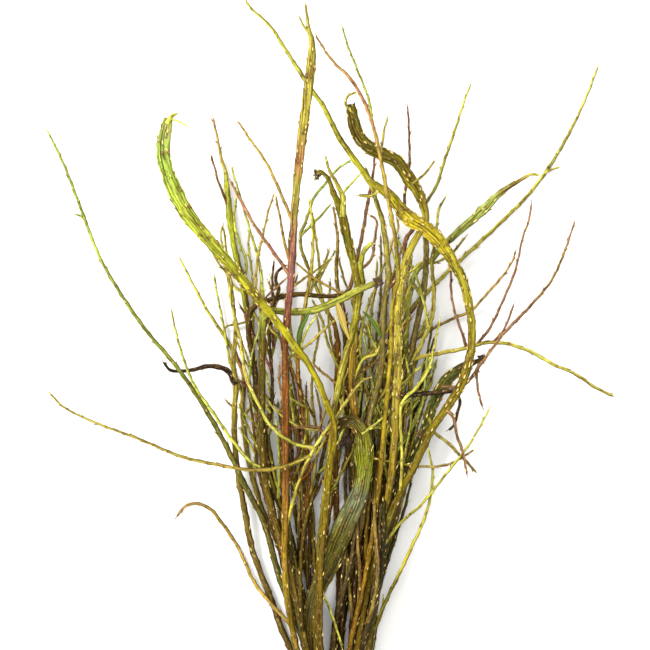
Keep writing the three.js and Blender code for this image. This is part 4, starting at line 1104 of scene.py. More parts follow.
@dataclass
class Weaver:
    """Threads fine twigs over and under the wood that already lies, in millimetres."""

    laid: list[list[Shoot]]
    gap: float = 0.7
    level_step: float = 1.6
    top_level: float = 150.0
    reach: float = 26.0
    steepest: int = 2
    bend_cost: float = 0.5
    touch_cost: float = 60.0
    aim_cost: float = 0.002
    climb_cost: float = 1.5
    floor_gap: float = 0.2
    barred: float = 1e6  # the cost of a height under the floor
    no_start: float = 1e9  # the cost of a start away from the root
    no_way: float = 1e12  # the cost of a step from beyond the levels
    free_root: float = 14.0
    smoothings: int = 5
    wood: list[Array] = field(default_factory=list)

    def __post_init__(self) -> None:
        """Takes in the wood of every stem."""
        for shoots in self.laid:
            for shoot in shoots:
                self.add(shoot)

    def add(self, shoot: Shoot) -> None:
        """Takes in the wood of a shoot."""
        self.wood.append(np.stack([shoot.x, shoot.y, shoot.z, shoot.half, shoot.rise]))

    def costs(self, shoot: Shoot, aim: float, levels: Array) -> Array:
        """Rates each height for each sample of a twig.

        Args:
            shoot: the twig.
            aim: the height that it would take by itself.
            levels: the heights to rate.

        Returns:
            The cost, one row for each sample.
        """
        x, y, z, half, rise = np.concatenate(self.wood, axis=1)
        near = (x > shoot.x.min() - self.reach) & (x < shoot.x.max() + self.reach)
        near &= (y > shoot.y.min() - self.reach) & (y < shoot.y.max() + self.reach)
        x, y, z, half, rise = (row[near] for row in (x, y, z, half, rise))
        cost = np.tile(self.aim_cost * (levels - aim) ** 2, (len(shoot.x), 1))
        for i in range(len(shoot.x)):
            away = np.hypot(x - shoot.x[i], y - shoot.y[i])
            room = half + shoot.half[i] + self.gap
            hit = away < room
            if hit.any():
                part = np.sqrt(1 - (away[hit] / room[hit]) ** 2)
                height = (rise[hit] + shoot.rise[i] + self.gap) * part
                deep = height[:, None] - np.abs(levels[None, :] - z[hit][:, None])
                weight = self.touch_cost * smooth(shoot.run[i] / self.free_root)
                cost[i] += weight * np.clip(deep, 0, None).max(axis=0)
            cost[i, levels < shoot.rise[i] + self.floor_gap] += self.barred
        return cost

    def thread(self, shoot: Shoot, start: float, aim: float, highest: float = 150.0) -> None:
        """Finds the smoothest way through the gaps, and sets the twig's heights.

        Args:
            shoot: the twig.
            start: its root's height.
            aim: the height that it would take by itself.
            highest: the height that it seldom climbs over.
        """
        levels = np.arange(1, self.top_level / self.level_step) * self.level_step
        cost = self.costs(shoot, aim, levels) + self.climb_cost * np.maximum(levels - highest, 0)
        total = np.where(np.abs(levels - start) <= self.level_step, 0.0, self.no_start)
        moves = np.arange(-self.steepest, self.steepest + 1)
        came = []
        for row in cost:
            ways = np.full((len(moves), len(levels)), self.no_way)
            for k, move in enumerate(moves):
                to = np.arange(max(0, move), min(len(levels), len(levels) + move))
                ways[k, to] = total[to - move] + self.bend_cost * move**2
            best = ways.argmin(axis=0)
            came.append(moves[best])
            total = ways.min(axis=0) + row
        at = int(total.argmin())
        path = []
        for back in reversed(came):
            path.append(levels[at])
            at -= int(back[at])
        z = np.array(path[::-1])
        z[0] = start
        for _ in range(self.smoothings):
            z[1:-1] = (z[:-2] + 2 * z[1:-1] + z[2:]) / 4
        shoot.z = np.maximum(z, shoot.rise)


@dataclass(frozen=True)
class Thicket:
    """A family of fine twigs: how many, where they start, and how long and thick they grow."""

    count: int
    starts: Pair
    lengths: Pair
    widths: Pair
    turns: Pair
    heights: Pair
    hues: tuple[float, ...]
    stray: float
    bend: float
    highest: float = 150.0
    # the bark's tone; below one it is painted shade
    tone: float = 1.0


THICKETS: tuple[Thicket, ...] = (
    # Long side shoots that fork low down and fill the bunch from behind, their bark darkened by a tone of
    # 0.64 as painted shade.
    Thicket(count=48, starts=(45, 190), lengths=(280, 560), widths=(5.0, 7.6), turns=(0.03, 0.12),
            heights=(3, 34), hues=(OWN, OWN, OWN, 0.45), stray=0.08, bend=0.006, highest=40, tone=0.64),
    # The tangle of twigs between the ribbons.
    Thicket(count=64, starts=(300, 560), lengths=(80, 220), widths=(2.6, 3.8), turns=(0.25, 0.75),
            heights=(5, 80), hues=(OWN, 0.1, 0.3, 0.5, 0.62, 0.7, 0.76, 0.8, 0.9), stray=0.34, bend=0.011),
    # Short spurs.
    Thicket(count=50, starts=(360, 640), lengths=(35, 90), widths=(2.2, 3.0), turns=(0.4, 1.0),
            heights=(10, 90), hues=(0.15, 0.4, 0.6, 0.7, 0.74, 0.8), stray=0.3, bend=0.014),
)


@dataclass
class Spray:
    """The finer twigs of every stem, grown by a seeded rule into the room that the bunch leaves."""

    laid: list[list[Shoot]]
    draw: np.random.Generator
    pace: float = 4.0
    middle: Pair = (-4.0, -330.0)
    left: tuple[Pair, ...] = (
        (40, -30), (98, -54), (200, -86), (300, -112), (400, -130), (520, -136), (620, -128), (700, -100))
    right: tuple[Pair, ...] = (
        (40, 36), (98, 62), (200, 82), (300, 104), (400, 126), (500, 148), (600, 136), (700, 112))
    top: float = 705.0
    clearing: Pair = (-21.0, 525.0)
    clearing_reach: Pair = (36.0, 80.0)
    through: float = 0.12  # share of twigs that still cross the clearing
    pull: float = 0.035  # towards the way out from the middle, at each step
    bend_kept: float = 0.82
    least_share: float = 0.6  # of its length that a twig must reach
    least_places: int = 8
    least_width: float = 2.6  # of the wood that a twig grows from
    width_share: float = 0.85  # of that wood's width
    tip_width: float = 1.6
    taper: float = 0.8
    leaf_rise: float = 4.0

    def crosses(self, x: Array, y: Array) -> bool:
        """Tells whether a route crosses the clearing under the crossbar."""
        away = ((x - self.clearing[0]) / self.clearing_reach[0]) ** 2
        return bool((away + ((y - self.clearing[1]) / self.clearing_reach[1]) ** 2 < 1).any())

    def inside(self, x: float, y: float) -> bool:
        """Tells whether a place lies in the dense part of the bunch."""
        left = np.interp(y, *zip(*self.left))
        right = np.interp(y, *zip(*self.right))
        return left < x < right and y < self.top

    def route(self, parent: Shoot, at: int, kind: Thicket) -> Optional[Shoot]:
        """Grows a twig's route, seen from above.

        Args:
            parent: the shoot that it leaves.
            at: the sample that it leaves from.
            kind: its family.

        Returns:
            The twig, or None where it would leave the bunch too soon.
        """
        draw = self.draw
        x, y = float(parent.x[at]), float(parent.y[at])
        after = min(at + 1, len(parent.x) - 1)
        heading = math.atan2(parent.x[after] - parent.x[after - 1], parent.y[after] - parent.y[after - 1])
        heading += draw.choice((-1, 1)) * draw.uniform(*kind.turns)
        stray = draw.normal(0, kind.stray)
        steps, bend = int(draw.uniform(*kind.lengths) / self.pace), 0.0
        places = [(x, y)]
        for _ in range(steps):
            aim = math.atan2(x - self.middle[0], y - self.middle[1]) + stray
            bend = self.bend_kept * bend + draw.normal(0, kind.bend)
            heading += self.pull * (aim - heading) + bend
            x, y = x + self.pace * math.sin(heading), y + self.pace * math.cos(heading)
            if not self.inside(x, y):
                break
            places.append((x, y))
        if len(places) < self.least_share * steps or len(places) < self.least_places:
            return None
        x, y = np.array(places).T
        if self.crosses(x, y) and draw.random() > self.through:
            return None
        run = self.pace * np.arange(len(x))
        wide = min(draw.uniform(*kind.widths), self.width_share * float(parent.width[at]))
        width = self.tip_width + (wide - self.tip_width) * (1 - run / run[-1]) ** self.taper
        return Shoot(x, y, run, width, width / 2, width / 2, hue=float(draw.choice(kind.hues)),
                     tone=kind.tone, parent=parent, root_run=float(parent.run[at]))

    def grow(self) -> None:
        """Adds every fine twig to its stem's shoots."""
        weaver = Weaver(self.laid)
        for kind in THICKETS:
            grown = 0
            while grown < kind.count:
                shoots = self.laid[self.draw.integers(len(self.laid))]
                parent = shoots[self.draw.integers(len(shoots))]
                at = int(self.draw.integers(2, len(parent.x) - 1))
                fits = kind.starts[0] < parent.y[at] < kind.starts[1] and not parent.leaf
                fits = fits and parent.width[at] > self.least_width
                twig = self.route(parent, at, kind) if fits else None
                if twig is None:
                    continue
                weaver.thread(twig, float(parent.z[at]), self.draw.uniform(*kind.heights), kind.highest)
                twig.index = len(shoots)
                shoots.append(twig)
                weaver.add(twig)
                grown += 1
        names = [plan.name for plan in STEMS]
        for name, path in LEAVES:
            shoots = self.laid[names.index(name)]
            foot, *rest = route_of(path)
            parent, at = nearest([shoot for shoot in shoots if not shoot.leaf], *foot[:2])
            blade = follow(((float(parent.x[at]), float(parent.y[at]), foot[2]), *rest), leaf=True)
            weaver.thread(blade, float(parent.z[at]), float(parent.z[at]) + self.leaf_rise)
            blade.index = len(shoots)
            shoots.append(blade)


@dataclass
class StemWood:
    """The fine wood of one stem: its shoots, ridges, nodes, buds and cut end, in millimetres."""

    plan: StemPlan
    shoots: list[Shoot]
    draw: np.random.Generator
    # The rings and the points round them.
    ring_step: float = 3.4
    fine_step: float = 4.6
    fine_width: float = 4.2
    side_length: float = 1.15
    fewest_sides: int = 6
    most_sides: int = 60
    # The section, and its ridges and furrows.
    squareness: float = 0.7
    waist: Pair = (0.3, 1.5)  # how deep, and how fast it fades towards the edges
    ridge_pitch: float = 4.4
    ridge_depth: float = 0.85
    flute_depth: float = 0.25
    ridged_from: Pair = (7, 6)  # the width, and over how much more they deepen
    unevenness: float = 0.35
    uneven_wave: float = 23.0
    furrow_power: float = 1.5
    # The nodes, and the draws that space them.
    internode: float = 17.0
    ribbon_internode: float = 7.0
    fan_internode: float = 24.0
    first_node: Pair = (0.4, 0.9)
    node_spread: Pair = (0.7, 1.3)
    cluster_spread: Pair = (0.5, 1.5)
    cluster: tuple[int, int] = (1, 4)
    cluster_reach: float = 3.0
    spacing: Pair = (0.45, 0.08)  # a share, and more for each millimetre of width
    bare_tip: float = 5.0
    node_swelling: float = 0.17
    node_length: float = 3.4
    zigzag: float = 0.36
    # Drifts along the wood: how far each strays, and the distance between its turns.
    knobs: Pair = (0.045, 9)
    twist: Pair = (0.16, 60)
    ridge_drift: Pair = (0.5, 45)
    hue_drift: Pair = (0.05, 45)
    # The wood's age and colour, and the painted light and shade on it.
    youngest_width: float = 1.6
    ageing: float = 4.4
    twig_youth: float = 0.8
    twig_share: float = 0.6  # of the rest of its stem's colours, from its root to its tip
    hue_spread: float = 0.03
    reddest: float = 0.12
    tones: Pair = (0.88, 1.12)
    streak_offset: float = 900.0  # the most, so that no two shoots have the same streaks
    painted_light_levels: Pair = (0.42, 0.5)  # painted light at the wood's middle, and more towards its top
    shaded: Pair = (0.62, 0.4)  # painted shade towards its right edge, and less on a ribbon
    shade_width: float = 8.0
    # painted shade in the furrows, for their depth
    painted_furrow_shade: float = 1.15
    scar_dark: float = 0.9
    scar_reach: float = 2.6
    # The ends.
    thickening: float = 1.0  # the buds' sheaths round the thinnest twigs
    collar: float = 0.3
    collar_reach: float = 1.6
    ribbon_from: float = 11.0
    blunt_half: float = 5.0
    taper_length: float = 1.2
    longest_taper: float = 7.0
    blunt_share: float = 0.6
    fine_share: float = 0.01
    cut_slant: float = 0.3
    horn: float = 6.0
    horn_length: float = 9.0
    # The buds and their scales.
    bare_reach: float = 55.0
    bud_turn: float = 0.4  # of the way round, from one bud to the next
    bud_turn_spread: float = 0.15
    bud_length: Pair = (3.2, 0.36)  # and more for each millimetre of width
    bud_lengths: Pair = (4.0, 6.4)
    bud_spread: Pair = (0.75, 1.2)
    bud_room: float = 0.3
    bud_seat: float = 0.94
    slim: float = 4.5
    slim_bud: Pair = (0.4, 0.22)  # how far it stands off, and its girth
    stout_bud: Pair = (0.26, 0.16)
    ribbon_buds: tuple[float, ...] = (0.1, np.pi - 0.1, np.pi / 2)  # at its edges and on its face
    ribbon_bud_spread: float = 0.5
    end_bud: float = 4.2
    end_seat: float = 0.8
    end_lean: float = 0.05
    crest_from: float = 2.0  # half the width of the tip
    crest: Pair = (4.0, 7.5)
    crest_spread: float = 0.8
    crest_seat: float = 1.5
    crest_lean: float = 0.3
    crest_tilt: float = 0.4
    green_share: float = 0.55
    weathered_share: float = 0.5
    scale_tones: Pair = (0.8, 1.15)
    scale_along: tuple[float, ...] = (-0.08, 0.2, 0.55, 0.85, 1.0)
    scale_radii: tuple[float, ...] = (0.6, 1.0, 0.86, 0.4, 0.05)
    scale_sides: int = 6
    scale_arch: float = 0.05
    scale_depth: float = 0.8
    # The dried tufts, as shares of their reach.
    tuft_spread: float = 0.6
    tuft_shape: tuple[float, ...] = (0.6, 1.2, 0.5)
    tuft_lengths: Pair = (0.5, 1.1)
    tuft_girths: Pair = (0.2, 0.4)
    skin: WoodMesh = field(default_factory=WoodMesh)

    def wander(self, runs: Array, size: float, wave: float) -> Array:
        """Draws a smooth random change along the wood.

        Args:
            runs: distances along the wood.
            size: how far it strays.
            wave: the distance between its turns.

        Returns:
            The change at each run.
        """
        knots = np.arange(0, runs[-1] + 2 * wave, wave)
        return np.interp(runs, knots, self.draw.normal(0, size, len(knots)))

    def node_runs(self, shoot: Shoot) -> Array:
        """Places the nodes where buds sit, closer on thin wood and in clusters on a ribbon.

        Args:
            shoot: the shoot.

        Returns:
            The nodes' runs.
        """
        runs, run = [], self.internode * self.draw.uniform(*self.first_node)
        while run < shoot.length - self.bare_tip:
            width = float(np.interp(run, shoot.run, shoot.width))
            if width > self.ribbon_from:
                count = self.draw.integers(*self.cluster)
                runs += list(run + self.draw.normal(0, self.cluster_reach, count))
                apart = self.fan_internode if self.plan.bark is Bark.FAN else self.ribbon_internode
                run += apart * self.draw.uniform(*self.cluster_spread)
            else:
                runs.append(run)
                share, more = self.spacing
                run += self.internode * self.draw.uniform(*self.node_spread) * (share + more * width)
        return np.array(runs)

    def section(self, half: Array, rise: Array, turn: Array) -> tuple[Array, ...]:
        """Shapes the rim: round on a plain stem, squarer and thinner in the middle on a ribbon.

        Args:
            half: half the width at each ring.
            rise: half the depth at each ring.
            turn: the angles round the rim.

        Returns:
            How far across and how far up each point is, ring by ring.
        """
        flat = np.clip(half / np.maximum(rise, 0.1) - 1, 0, 2)[:, None] / 2
        power = 2 / (2 + self.squareness * flat)
        across, up = (np.sign(way) * np.abs(way) ** power
                      for way in (np.cos(turn)[None, :], np.sin(turn)[None, :]))
        depth, fading = self.waist
        waist = 1 - depth * flat * (1 - np.abs(across) ** fading)
        return across * half[:, None], up * waist * rise[:, None]

    def share_of(self, shoot: Shoot, runs: Array) -> Array:
        """Finds the share of the way from the cut end to the tip, which sets the bark's colour.

        Args:
            shoot: the shoot.
            runs: distances along its wood.

        Returns:
            The share at each run.
        """
        if shoot.parent is None:
            return runs / shoot.length
        start = self.share_of(shoot.parent, np.array([shoot.root_run]))
        return start + (1 - start) * self.twig_share * runs / shoot.length

    def half_sizes(self, shoot: Shoot, runs: Array, nodes: Array,
                   youth: Array) -> tuple[Array, Array]:
        """Swells the wood at its nodes and its root, and narrows it at its tip.

        Args:
            shoot: the shoot.
            runs: the rings' runs.
            nodes: the nodes' runs.
            youth: how young the wood is at each ring.

        Returns:
            Half the width and half the depth at each ring.
        """
        wood = shoot.at(runs)
        swell = np.exp(-((runs[:, None] - nodes) / self.node_length) ** 2).sum(axis=1)
        plain = np.clip((self.ribbon_from + 3 - wood["width"]) / 6, 0.25, 1) * (1 + youth)
        size = 1 + self.node_swelling * np.minimum(swell, 1) * plain + self.wander(runs, *self.knobs)
        size = size + self.thickening * youth / wood["width"]
        if shoot.parent is not None:
            size = size + self.collar * np.exp(-runs / (self.collar_reach * shoot.width[0]))
        end = min(shoot.half[-1] * self.taper_length, self.longest_taper)
        end_share = self.blunt_share if shoot.half[-1] > self.blunt_half else self.fine_share
        fall = (np.maximum(runs - shoot.length + end, 0) / end) ** 2
        taper = np.sqrt(np.clip(1 - fall, end_share, 1))
        return wood["half"] * size * taper, wood["rise"] * size * taper

    def growth(self, shoot: Shoot, runs: Array, youth: Array) -> Array:
        """Draws what the bark reads of its growth.

        Args:
            shoot: the shoot.
            runs: the rings' runs.
            youth: how young the wood is at each ring.

        Returns:
            The share of the way, the youth and the hue, one row for each ring.
        """
        if shoot.parent is not None:
            youth = np.maximum(youth, self.twig_youth)
        youth = {OWN: 0 * youth, DEAD: 0 * youth + 1}.get(shoot.hue, youth)
        hue = shoot.hue + self.draw.normal(0, self.hue_spread) + self.wander(runs, *self.hue_drift)
        hue = np.maximum(hue, self.reddest) if shoot.hue != DEAD else np.full_like(runs, DEAD)
        return np.stack([self.share_of(shoot, runs), youth, hue], axis=1)

    def add_shoot(self, shoot: Shoot) -> None:
        """Adds one shoot's wood and its buds.

        Args:
            shoot: the shoot.
        """
        step = self.fine_step if shoot.width.max() < self.fine_width else self.ring_step
        runs = np.linspace(0, shoot.length, max(4, math.ceil(shoot.length / step)) + 1)
        wood = shoot.at(runs)
        nodes = self.node_runs(shoot)
        youth = np.clip(1 - (wood["width"] - self.youngest_width) / self.ageing, 0, 1)
        half, rise = self.half_sizes(shoot, runs, nodes, youth)
        places = np.stack([wood["x"], wood["y"], wood["z"]], axis=1)
        loose = smooth((np.abs(wood["y"]) - TIGHT_REACH / 2) / TIGHT_REACH)
        ahead, side, up = directions(places)
        twist = self.wander(runs, *self.twist) * loose
        c, s = np.cos(twist)[:, None], np.sin(twist)[:, None]
        frame = ahead, side, up = ahead, side * c + up * s, up * c - side * s
        if len(nodes) > 1:
            turns = np.where(np.arange(len(nodes)) % 2, 1.0, -1.0) * self.zigzag
            places = places + side * (np.interp(runs, nodes, turns) * loose)[:, None]

        sides = int(np.clip(round(shoot.rim / self.side_length), self.fewest_sides, self.most_sides))
        turn = self.even_turns(half.max(), float(rise[half.argmax()]), sides)
        across, high = self.section(half, rise, turn)
        furrow = self.furrows(shoot, runs, wood["width"], sides)
        # Painted light, more towards the wood's top, and painted shade towards its right edge, less on a
        # ribbon.
        (middle, top), (edge, less) = self.painted_light_levels, self.shaded
        wide = np.clip((wood["width"] - self.shade_width) / self.shade_width, 0, 1)[:, None]
        shade = (edge - less * wide) * across / half[:, None]
        painted_light = np.clip(middle + top * high / rise[:, None] - shade, 0, 1)
        deep = furrow * np.minimum(1, rise / 2)[:, None]
        across = across * (1 - deep / half.clip(1)[:, None])
        high = high * (1 - deep / rise.clip(1)[:, None])
        rings = rings_round(places, across, high, side, up)
        if shoot.half[-1] > self.blunt_half:  # a ribbon ends in two horns, torn lower between them
            pull = np.clip(1 - (shoot.length - runs) / self.horn_length, 0, 1)[:, None]
            rings += (self.horn * (pull * (across / half[:, None]) ** 2))[..., None] * ahead[:, None, :]
        if shoot.parent is None:
            rings[0] += np.outer(across[0] * self.cut_slant * self.draw.uniform(-1, 1), ahead[0])

        # Painted shade in the furrows, then the bud scars, which are the bark's own marks.
        dark = np.clip(self.painted_furrow_shade * furrow / self.ridge_depth, 0, self.scar_dark)
        for i, node in enumerate(nodes):
            foot = self.add_bud(shoot, node, runs, places, frame, half, rise, i)
            if foot is not None:
                away = np.linalg.norm(rings - foot, axis=2)
                dark = np.maximum(dark, self.scar_dark * np.exp(-((away / self.scar_reach) ** 2)))
        offset = self.draw.uniform(0, self.streak_offset)
        grain = np.stack(np.broadcast_arrays(across, high, runs[:, None] + offset), axis=2)
        growth = self.growth(shoot, runs, youth)[:, None, :]
        # A tone below one, as on the long low shoots, is painted shade.
        tone = shoot.tone * self.draw.uniform(*self.tones)
        skin = np.stack(np.broadcast_arrays(dark, painted_light, tone), axis=2)
        cut_slot = CUT_SLOT if shoot.parent is None else None
        self.skin.add_rings(rings, BARK_SLOT, cut_slot, grain=grain, growth=growth, skin=skin)
        self.add_end_buds(shoot, places[-1], (ahead[-1], side[-1], up[-1]), float(wood["half"][-1]))

    def even_turns(self, half: float, rise: float, sides: int) -> Array:
        """Finds angles that space the rim's points evenly where the wood is widest.

        Args:
            half: half the width there.
            rise: half the depth there.
            sides: the number of points.

        Returns:
            The angles.
        """
        dense = np.linspace(0, FULL_TURN, 721) - np.pi / 2
        across, up = self.section(np.array([half]), np.array([rise]), dense)
        way = np.concatenate([[0], np.cumsum(np.hypot(np.diff(across[0]), np.diff(up[0])))])
        return np.interp(np.arange(sides) / sides * way[-1], way, dense)

    def furrows(self, shoot: Shoot, runs: Array, width: Array, sides: int) -> Array:
        """Sinks the lengthwise furrows between the ridges.

        Args:
            shoot: the shoot.
            runs: the rings' runs.
            width: the wood's width at each ring.
            sides: the number of points round a ring.

        Returns:
            The depth of the furrow at each point.
        """
        start, reach = self.ridged_from
        ribbon = np.clip((width - start) / reach, 0, 1)
        count = max(3, round(shoot.rim / self.ridge_pitch))
        flute = self.flute_depth * np.clip(width / start, 0, 1)
        depth = flute * (1 - ribbon) + self.ridge_depth * ribbon
        drift = self.wander(runs, *self.ridge_drift)
        place = FULL_TURN * (np.arange(sides)[None, :] / sides * count + drift[:, None])
        wave = np.sin(place / count * 3 + runs[:, None] / self.uneven_wave)
        uneven = 1 - self.unevenness + self.unevenness * wave
        return depth[:, None] * uneven * (0.5 - 0.5 * np.cos(place)) ** self.furrow_power

    def add_bud(self, shoot: Shoot, node: float, runs: Array, places: Array,
                frame: tuple[Array, ...], half: Array, rise: Array,
                order: int) -> Optional[Array]:
        """Adds the bud at a node, two fifths of the way round from the last one.

        Args:
            shoot: the shoot.
            node: the node's run.
            runs: the rings' runs.
            places: the rings' middles.
            frame: the directions at each ring.
            half: half the width at each ring.
            rise: half the depth at each ring.
            order: the node's number on the shoot.

        Returns:
            The bud's foot, or None where the wood is bare.
        """
        at = int(np.searchsorted(runs, node).clip(1, len(runs) - 1))
        here = places[at]
        if np.abs(here[1]) < self.bare_reach:
            return None
        width = 2 * half[at]
        stray = self.bud_turn_spread * self.draw.uniform(-1, 1)
        angle = FULL_TURN * (self.bud_turn * order + stray) + shoot.index
        if width > self.ribbon_from:
            angle = self.draw.choice(self.ribbon_buds) + self.draw.normal(0, self.ribbon_bud_spread)
        ahead, side, up = (way[at] for way in frame)
        across, high = self.section(half[at:at + 1], rise[at:at + 1], np.array([angle]))
        out = side * across[0, 0] + up * high[0, 0]
        outward = unit(side * np.cos(angle) * rise[at] + up * np.sin(angle) * half[at])
        least, more = self.bud_length
        length = np.clip(least + more * width, *self.bud_lengths) * self.draw.uniform(*self.bud_spread)
        if here[2] + out[2] < length * self.bud_room:
            return None
        foot = here + out * self.bud_seat
        slim = width < self.slim
        tilt, girth = self.slim_bud if slim else self.stout_bud
        lean = ahead + tilt * outward
        self.add_scale(foot, lean, outward, length, shoot.hue if slim else None, girth=girth)
        return foot

    def add_scale(self, foot: Array, lean: Array, outward: Array, length: float,
                  hue: Optional[float] = None, slot: int = SCALE_SLOT, girth: float = 0.17) -> None:
        """Adds one pointed bud scale.

        Args:
            foot: where it sits.
            lean: the way that it points.
            outward: the way out of the wood.
            length: its length.
            hue: the twig's hue, where the bud may still be as green as its twig.
            slot: its finish.
            girth: its radius, as a share of its length.
        """
        lean = unit(lean)
        flank = unit(np.cross(lean, outward))
        thick = np.cross(flank, lean)
        t = np.array(self.scale_along)
        radius = np.array(self.scale_radii) * length * girth
        around = np.arange(self.scale_sides) / self.scale_sides * 2 * np.pi
        arch = thick * (length * self.scale_arch * t**2)[:, None]
        middle = foot + lean * (length * t)[:, None] + arch
        rim = flank * np.cos(around)[:, None] + thick * (self.scale_depth * np.sin(around))[:, None]
        rings = middle[:, None, :] + radius[:, None, None] * rim[None, ::-1, :]
        tone = self.draw.uniform(*self.scale_tones)
        green = hue is not None and hue != OWN and self.draw.random() < self.green_share
        age = float(self.draw.random() < self.weathered_share)
        youth, hue, bright = (1, hue + 0.06, 1.15) if green else (age, 0, 1)
        growth = np.stack(np.broadcast_arrays(t.clip(0), youth, hue), axis=1)[:, None, :]
        skin = np.array([0.0, 1.0, tone * bright])
        self.skin.add_rings(rings, BARK_SLOT if green else slot, grain=rings, growth=growth, skin=skin)

    def add_end_buds(self, shoot: Shoot, tip: Array, frame: tuple[Array, ...],
                     half: float) -> None:
        """Adds the bud at a twig's tip, or the horned crest of buds where a ribbon ends.

        Args:
            shoot: the shoot.
            tip: its end.
            frame: ahead, sideways and up there.
            half: half its width there.
        """
        ahead, side, up = frame
        if half < self.crest_from:
            foot = tip - ahead * self.end_seat
            self.add_scale(foot, ahead + self.end_lean * up, up, self.end_bud, shoot.hue)
            return
        for spread in np.linspace(-self.crest_spread, self.crest_spread, max(3, round(half / 2))):
            tilt = self.draw.uniform(-self.crest_tilt, self.crest_tilt)
            lean = ahead + side * spread * self.crest_lean + up * tilt
            foot = tip - ahead * self.crest_seat + side * spread * half * self.crest_spread
            self.add_scale(foot, lean, up, self.draw.uniform(*self.crest))

    def add_tuft(self, tuft: Tuft) -> None:
        """Adds a knot of shrivelled leaves and buds.

        Args:
            tuft: the knot.
        """
        shoot, at = nearest(self.shoots, tuft.x, tuft.y)
        middle = np.array([tuft.x, tuft.y, shoot.z[at] + tuft.lift])
        for _ in range(tuft.count):
            way = unit(self.draw.normal(0, 1, 3))
            away = self.draw.uniform(0, self.tuft_spread)
            foot = middle + way * tuft.reach * away * np.array(self.tuft_shape)
            lean = self.draw.normal(0, 1, 3)
            length = tuft.reach * self.draw.uniform(*self.tuft_lengths)
            self.add_scale(foot, lean, np.cross(lean, way), length, slot=DRIED_SLOT,
                           girth=self.draw.uniform(*self.tuft_girths))

    def build(self, materials: Sequence[Material], tuft: Optional[Tuft]) -> bpy.types.Object:
        """Makes the stem.

        Args:
            materials: its bark, its bud scales, its cut wood and its dried tips.
            tuft: the knot of dried leaves on it, if it has one.

        Returns:
            The object.
        """
        for shoot in self.shoots:
            if not shoot.leaf:
                self.add_shoot(shoot)
        if tuft:
            self.add_tuft(tuft)
        return self.skin.build(self.plan.name + "_wood", materials)


@dataclass
class Leaf:
    """A leaf left on the bunch: a lance-shaped blade folded along its rib."""

    shoot: Shoot
    thickness: float = 0.6
    rib: float = 1.5  # the thickness at the midrib, as a share of the blade's
    fold: float = 0.55
    arch: float = 3.0
    teeth: float = 0.22
    tooth_pitch: float = 2.2
    steps: int = 60
    shares: tuple[float, ...] = (-1, -0.7, -0.4, -0.12, 0, 0.12, 0.4, 0.7, 1)

    def build(self, name: str, material: Material) -> bpy.types.Object:
        """Makes the leaf.

        Args:
            name: its name.
            material: its finish.

        Returns:
            The object.
        """
        runs = np.linspace(0, self.shoot.length, self.steps)
        wood = self.shoot.at(runs)
        bow = self.arch * np.sin(np.pi * (runs / self.shoot.length))
        places = np.stack([wood["x"], wood["y"], wood["z"] + bow], axis=1)
        _, side, up = directions(places)
        half = wood["half"] + self.teeth * np.abs(np.sin(np.pi * runs / self.tooth_pitch))
        share = np.array([*self.shares, *self.shares[-2:0:-1]])
        edge = len(self.shares)
        under = np.where(np.arange(len(share)) < edge, -0.5, 0.5) * self.thickness
        under[[0, edge - 1]] = 0
        rib = np.where(share == 0, self.rib, 1.0)
        across = share[None, :] * half[:, None]
        high = np.abs(across) * self.fold + (under * rib)[None, :]
        grain = np.stack(np.broadcast_arrays(across, high, runs[:, None]), axis=2)
        mesh = WoodMesh()
        mesh.add_rings(rings_round(places, across, high, side, up), 0, grain=grain)
        return mesh.build(name, [material])


